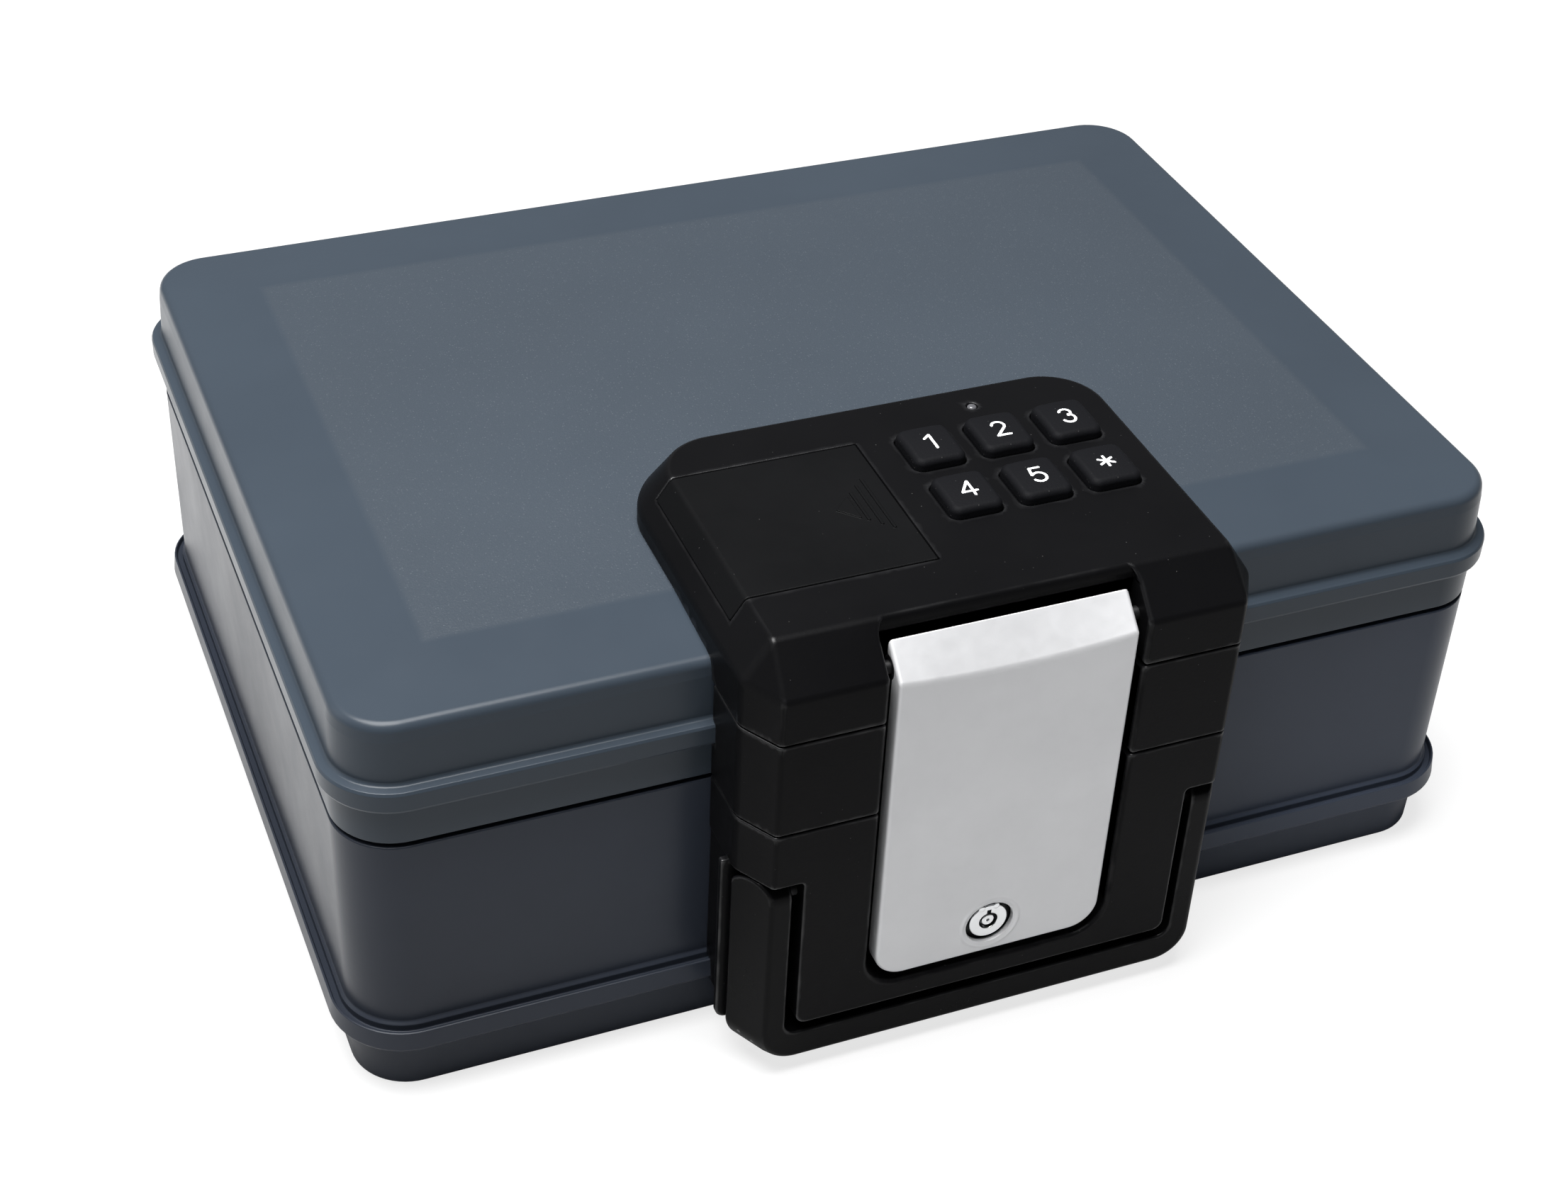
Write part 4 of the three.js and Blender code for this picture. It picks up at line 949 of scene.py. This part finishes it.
def hinge_fixed(x, y, z):
    """Base leaf: a plate on the wall and a web that rises to two knuckles on the pin."""
    dy, dz = y - HINGE_PIN.y, z - HINGE_PIN.z
    plate = smax(rounded(x, z - 79.2, HINGE_HALF, 11.2, 2), span(y, *LEAF), r=0.5)
    front = slope(y - LEAF[1], z - 84, 7.49, 11.44)
    neck = slope(dz, dy + 4.4, 2.0, 1.7)
    radial = slope(dy, dz, -3.99, 1.86)
    web = smax(LEAF[0] - y, front, neck, radial, dz, 84 - z, r=0.2)
    knuckle = smin(web, rod(dy, dz, KNUCKLE), r=0.3)
    form = smin(plate, smax(knuckle, 9.1 - np.abs(x), np.abs(x) - HINGE_HALF, r=0.4), r=0.4)
    form = cut(form, rod(dy, dz, 2.1), r=0.2)
    return cut(form, rod(np.abs(x) - 17, z - 76, 1.9), r=0.2)


def hinge_moving(x, y, z):
    """Lid leaf: a low plate on the lid and a web that drops to the middle knuckle."""
    dy, dz = y - HINGE_PIN.y, z - HINGE_PIN.z
    plate = smax(rounded(x, z - 106.9, HINGE_HALF, 3.9, 1.2), span(y, *LEAF), r=0.4)
    under = slope(y - LEAF[0], z - 99.6, 1.7, -2.3)
    front = slope(y - LEAF[1], z - 105, -6.87, 4.87)
    radial = slope(dy, dz, 3.37, 2.83)
    web = smax(LEAF[0] - y, under, front, radial, -dz, z - 108, r=0.2)
    knuckle = smin(web, rod(dy, dz, KNUCKLE), r=0.3)
    form = smin(plate, smax(knuckle, np.abs(x) - 8.6, r=0.4), r=0.4)
    form = cut(form, rod(dy, dz, 2.1), r=0.2)
    return cut(form, rod(np.abs(x) - 18, z - 106.9, 1.9), r=0.2)


def cross(u, v, w, arm, width, depth):
    """Cross-shaped recess down to w = -depth."""
    return np.minimum(slab(u, v, w, (-arm, arm), (-width, width), (-depth, 9)),
                      slab(u, v, w, (-width, width), (-arm, arm), (-depth, 9)))


def pan_screw(x, y, z):
    dome = np.sqrt(x * x + z * z + (y + 0.82) ** 2) - 5.12
    head = smax(rod(x, z, 2.9), 2.6 - y, dome, r=0.25)
    form = smin(head, smax(rod(x, z, 1.6), -y, y - 3))
    return cut(form, cross(x, z, y - 4.3, 1.7, 0.42, 1.0), r=0.12)


def hinge_pair(node):
    """Left and right places of a hinge part that is modelled about the pin's middle plane."""
    aside = Vector((HINGE_X, 0, 0))
    return [(f"{node}_left", SHELL - aside, 0), (f"{node}_right", SHELL + aside, 0)]


copies(skin("hinge_fixed", hinge_fixed, (-25, 133.4, 68), (25, 144, 101.8), 0.4, (0, 0, 0), 0.25),
       hinge_pair("hinge_base"), "black")
copies(skin("hinge_moving", hinge_moving, (-25, 133.4, 92.8), (25, 144, 110.8), 0.4, (0, 0, 0), 0.3),
       hinge_pair("hinge_lid"), "black")
hinge_rod = [
    (0.02, -25.8, 0), (1.4, -25.8, 0.4), (2, -25.2, 0.4), (2, 25.2, 0.4), (1.4, 25.8, 0.4), (0.02, 25.8, 0),
]
pin_place = (0, HINGE_PIN.y, HINGE_PIN.z)
copies(turned("hinge_rod", hinge_rod, pin_place, (1, 0, 0), 32), hinge_pair("hinge_pin"), "steel")
screw_places = []
for node in nodes:
    if "_screw_" in node:
        middle = centre_of(node)
        screw_places.append((node, (middle.x, box_mm(node)[0].y, middle.z), 0))
copies(skin("pan_screw", pan_screw, (-2.9, 0, -2.9), (2.9, 4.3, 2.9), 0.16, (0, 0, 0), 0.4),
       screw_places, "steel")

foot_profile = [
    (0.02, 0.5, 0), (4, 0.5, 0.2), (4.5, 0, 0.3), (8, 0, 0.8), (9, 1, 0.6), (9, 2.6, 0.2), (0.02, 2.6, 0),
]
feet = [node for node in nodes if node.startswith("foot_")]
copies(turned("foot_disc", foot_profile, (0, 0, 0), (0, 0, 1)),
       [(foot, (centre_of(foot).x, centre_of(foot).y, 0), 0) for foot in feet], "rubber")

CELL_LENGTH = 44.4
cell_profile = [
    (0.02, 0, 0), (3.4, 0, 0.2), (3.7, 0.4, 0.2), (4.4, 0.4, 0.2), (4.8, 0, 0.3), (5.2, 0.5, 0.4),
    (5.2, 42.9, 0.5), (4.7, 43.3, 0.3), (3.4, 43.1, 0.2), (1.9, 43.3, 0.3), (1.9, CELL_LENGTH, 0.4),
    (0.02, CELL_LENGTH, 0),
]
cell_places, spring_places = [], []
for i in range(4):
    middle = centre_of(f"battery_{i + 1}")
    flip = i % 2
    start = middle.x + (CELL_LENGTH / 2 if flip else -CELL_LENGTH / 2)
    cell_places.append((f"battery_{i + 1}", (start, middle.y, middle.z), math.pi * flip))
    plate = box_mm("battery_contact_right")[0].x if flip else box_mm("battery_contact_left")[1].x
    spring_places.append((f"contact_spring_{i + 1}", (plate, middle.y, middle.z), math.pi * flip))
copies(turned("cell_can", cell_profile, (0, 0, 0), (1, 0, 0)), cell_places, "cell")


def wire(name, path, radius, sides=10):
    """Round wire along a path, closed at both ends."""
    path = np.array(path, float)
    tangent = np.gradient(path, axis=0)
    tangent /= np.linalg.norm(tangent, axis=1, keepdims=True)
    side = np.cross(tangent, (1.0, 0.0, 0.0))
    side /= np.linalg.norm(side, axis=1, keepdims=True)
    over = np.cross(tangent, side)
    turn = np.linspace(0, 2 * math.pi, sides, endpoint=False)[:, None, None]
    around = np.cos(turn) * side + np.sin(turn) * over
    points = (path + radius * around).transpose(1, 0, 2).reshape(-1, 3)
    normals = around.transpose(1, 0, 2).reshape(-1, 3)
    faces = [face[::-1] for face in ring_faces(len(path), sides)]
    return new_object(name, points * MM, faces, normals)


along_coil = np.linspace(0, 1, 60)
coil_radius, coil_angle = 3.3 - 1.6 * along_coil, along_coil * 5 * math.pi
coil_rows = (0.35 + 1.85 * along_coil, coil_radius * np.cos(coil_angle), coil_radius * np.sin(coil_angle))
copies(wire("spring_coil", np.stack(coil_rows, 1), 0.28), spring_places, "steel", replace=False)

for side in ("left", "right"):
    node = f"battery_contact_{side}"
    middle, (low, high) = centre_of(node), box_mm(node)
    half = (high - low) / 2
    studs = [centre_of(f"battery_{i + 1}") - middle for i in range(4) if (i % 2 == 1) == (side == "left")]
    inward = 1 if side == "left" else -1

    def contact(x, y, z):
        plate = smax(span(x, -half.x, half.x), rounded(y, z, half.y, half.z, 1.2), r=0.15)
        for stud in studs:
            dome = np.sqrt((x + inward * 2.2) ** 2 + (y - stud.y) ** 2 + (z - stud.z) ** 2) - 3.4
            plate = smin(plate, smax(dome, -inward * x), r=0.3)
        return plate

    reach = (1.4, half.y, half.z)
    stand_for(skin(f"contact_{side}", contact, [-v for v in reach], reach, 0.25, middle, 0.3), node, "steel")


def strike(x, y, z):
    form = smax(rounded(x, z + 53.5, 22, 14.5, 2), span(y, 12.2, 14.3), r=0.3)
    form = cut(form, slab(x, y, z, (-9.4, 9.4), (10, 20), (-66, -30)), r=0.3)
    screw_ring = np.abs(rod(np.abs(x) - 15.7, z + 53, 2.9)) - 0.12
    form = cut(form, smax(screw_ring, y - 12.5), r=0.08)
    return cut(form, cross(np.abs(x) - 15.7, z + 53, 12.2 - y, 1.7, 0.42, 0.9), r=0.1)


front_piece("strike_bracket", strike, (-22, 12.2, -68), (22, 14.3, -39), 0.22, 0.25,
            "strike_plate", "steel")


def nut(x, y, z):
    v = z - LOCK_Z
    hexagon = reduce(np.maximum, (np.abs(x), np.abs(x / 2 + v * 0.866), np.abs(x / 2 - v * 0.866))) - 7.79
    form = smax(hexagon, span(y, 10.6, 13.5), np.hypot(x, v) - 9.4 + np.abs(y - 12.05), r=0.2)
    return cut(form, rod(x, v, 5.85), r=0.3)


def cam(x, y, z):
    v = z - LOCK_Z
    arm = smax(rounded(x, v - 7.75, 4.5, 7.75, 1.5), span(y, 16.5, 18.4), r=0.2)
    form = smin(arm, smax(rod(x, v, 4.5), span(y, 16.5, 18.4), r=0.2))
    return cut(form, slab(x, y, v, (-1.7, 1.7), (10, 24), (-1.7, 1.7)), r=0.1)


def cam_screw(x, y, z):
    v = z - LOCK_Z
    form = smax(rod(x, v, 3.4), 18.5 - y, np.sqrt(x * x + v * v + (y - 13.0) ** 2) - 7.4, r=0.25)
    return cut(form, cross(x, v, y - 20.4, 1.9, 0.45, 1.0), r=0.1)


front_piece("lock_hex_nut", nut, (-8, 10.6, -64.4), (8, 13.5, -46.2), 0.25, 0.35,
            "lock_nut", "steel")
front_piece("cam_lever", cam, (-4.6, 16.5, -60), (4.6, 18.4, -39.8), 0.22, 0.35,
            "lock_cam", "steel")
front_piece("cam_fixing", cam_screw, (-3.4, 18.5, -58.7), (3.4, 20.4, -51.9), 0.18, 0.35,
            "cam_screw", "steel")


def rod_piece(name, node, radius, bevel=0.5):
    """Pin along x with bevelled ends, exactly as long as its node, in near-black steel that paints the shade
    it sits in.
    """
    low, high = box_mm(node)
    middle = (low + high) / 2
    profile = [(0.02, low.x, 0), (radius - bevel, low.x, 0.2), (radius, low.x + bevel, 0.2),
               (radius, high.x - bevel, 0.2), (radius - bevel, high.x, 0.2), (0.02, high.x, 0)]
    stand_for(turned(name, profile, (0, middle.y, middle.z), (1, 0, 0), 32), node, "dark_steel")


rod_piece("latch_axle", "latch_pin", 2)
rod_piece("handle_axle_left", "handle_pin_left", 2.5)
rod_piece("handle_axle_right", "handle_pin_right", 2.5)
rod_piece("plunger_rod", "solenoid_plunger", 1.2, 0.4)


def solenoid(x, y, z):
    frame_form = slab(x, y, z, (49, 66), (3.8, 15.2), (34, 45), r=0.5)
    window = smax(span(x, 50.5, 64.5), 4.3 - np.abs(y - 9.5))
    core = cut(frame_form, window, r=0.3)
    coil_form = smax(rod(y - 9.5, z - 39.5, 4.9 + 0.12 * np.cos(x * 9)), span(x, 50, 65), r=0.3)
    form = smin(core, coil_form, r=0.2)
    return cut(form, smax(rod(y - PLUNGER.y, z - PLUNGER.z, 1.4), x - 63), r=0.1)


front_piece("solenoid_coil", solenoid, (49, 3.8, 34), (66, 15.2, 45), 0.25, 0.3,
            "solenoid_body", "steel")


# ---------------- floor, light and camera
FLOOR_HALF = 6  # metres
floor_mesh = bpy.data.meshes.new("floor")
corners = [(x * FLOOR_HALF, y * FLOOR_HALF, 0) for x, y in ((-1, -1), (1, -1), (1, 1), (-1, 1))]
floor_mesh.from_pydata(corners, [], [(0, 1, 2, 3)])
floor = add_object("floor", floor_mesh)
paper = Recipe("paper_floor")
path = paper.add("ShaderNodeLightPath")
seen = paper.blend_colour(paper.noise(3), (0.82, 0.82, 0.82), (0.86, 0.86, 0.86))
behind = paper.remap(paper.spot("Y"), -0.35, 0.25)
bounce = paper.blend_colour(behind, (0.42, 0.42, 0.42), (0.7, 0.7, 0.7))
paper.use(colour=paper.blend_colour(path.outputs["Is Camera Ray"], bounce, seen), roughness=0.8, specular=0.1)
glow = paper.add("ShaderNodeEmission")
glow.inputs["Strength"].default_value = 1.05
share = paper.add("ShaderNodeMixShader")
paper.join(paper.maths("MULTIPLY", path.outputs["Is Camera Ray"], 0.72), share.inputs[0])
paper.join(paper.shader.outputs[0], share.inputs[1])
paper.join(glow.outputs[0], share.inputs[2])
paper.join(share.outputs[0], paper.tree.nodes["Material Output"].inputs["Surface"])
floor.data.materials.append(paper.material)

world = bpy.data.worlds.new("studio")
bpy.context.scene.world = world
world.use_nodes = True
sky = world.node_tree.nodes["Background"]
sky.inputs["Color"].default_value = (0.95, 0.97, 1.0, 1)
way = world.node_tree.nodes.new("ShaderNodeTexCoord")
parts = world.node_tree.nodes.new("ShaderNodeSeparateXYZ")
fade = world.node_tree.nodes.new("ShaderNodeMapRange")
world.node_tree.links.new(way.outputs["Generated"], parts.inputs[0])
world.node_tree.links.new(parts.outputs["Y"], fade.inputs["Value"])
for key, value in (("From Min", -0.5), ("From Max", 0.7), ("To Min", 0.05), ("To Max", 0.17)):
    fade.inputs[key].default_value = value
world.node_tree.links.new(fade.outputs["Result"], sky.inputs["Strength"])


def softbox(name, place, target, size, power):
    light = bpy.data.lights.new(name, "AREA")
    light.shape = "RECTANGLE"
    light.size, light.size_y = size
    light.energy = power
    item = add_object(name, light)
    item.location = place
    item.rotation_euler = (Vector(target) - Vector(place)).to_track_quat("-Z", "Y").to_euler()


softbox("overhead", (-0.35, -0.05, 1.9), (0, 0, 0.1), (1.2, 1.2), 88)
softbox("left_panel", (-1.5, 0.5, 0.7), (0, 0, 0.1), (0.8, 1.0), 3)

AZIMUTH, ELEVATION, ROLL = math.radians(-23.59), math.radians(37.02), math.radians(3.06)
DISTANCE = 0.7263  # metres from the point aimed at
aim = Vector((-55.9, FRONT_Y + 39.2, PARTING + 55.7)) * MM
level = Vector((math.cos(AZIMUTH), math.sin(AZIMUTH), 0))
outward = Vector((math.sin(AZIMUTH), -math.cos(AZIMUTH), 0))
back = outward * math.cos(ELEVATION) + Vector((0, 0, math.sin(ELEVATION)))
lift = back.cross(level)
right = level * math.cos(ROLL) + lift * math.sin(ROLL)
up = back.cross(right)
camera_data = bpy.data.cameras.new("camera")
camera_data.lens = 59.9
camera_data.sensor_width = 36
camera = add_object("camera", camera_data)
place = aim + back * DISTANCE
camera.matrix_world = Matrix.Translation(place) @ Matrix((right, up, back)).transposed().to_4x4()
bpy.context.scene.camera = camera
bpy.context.scene.view_settings.view_transform = "Standard"
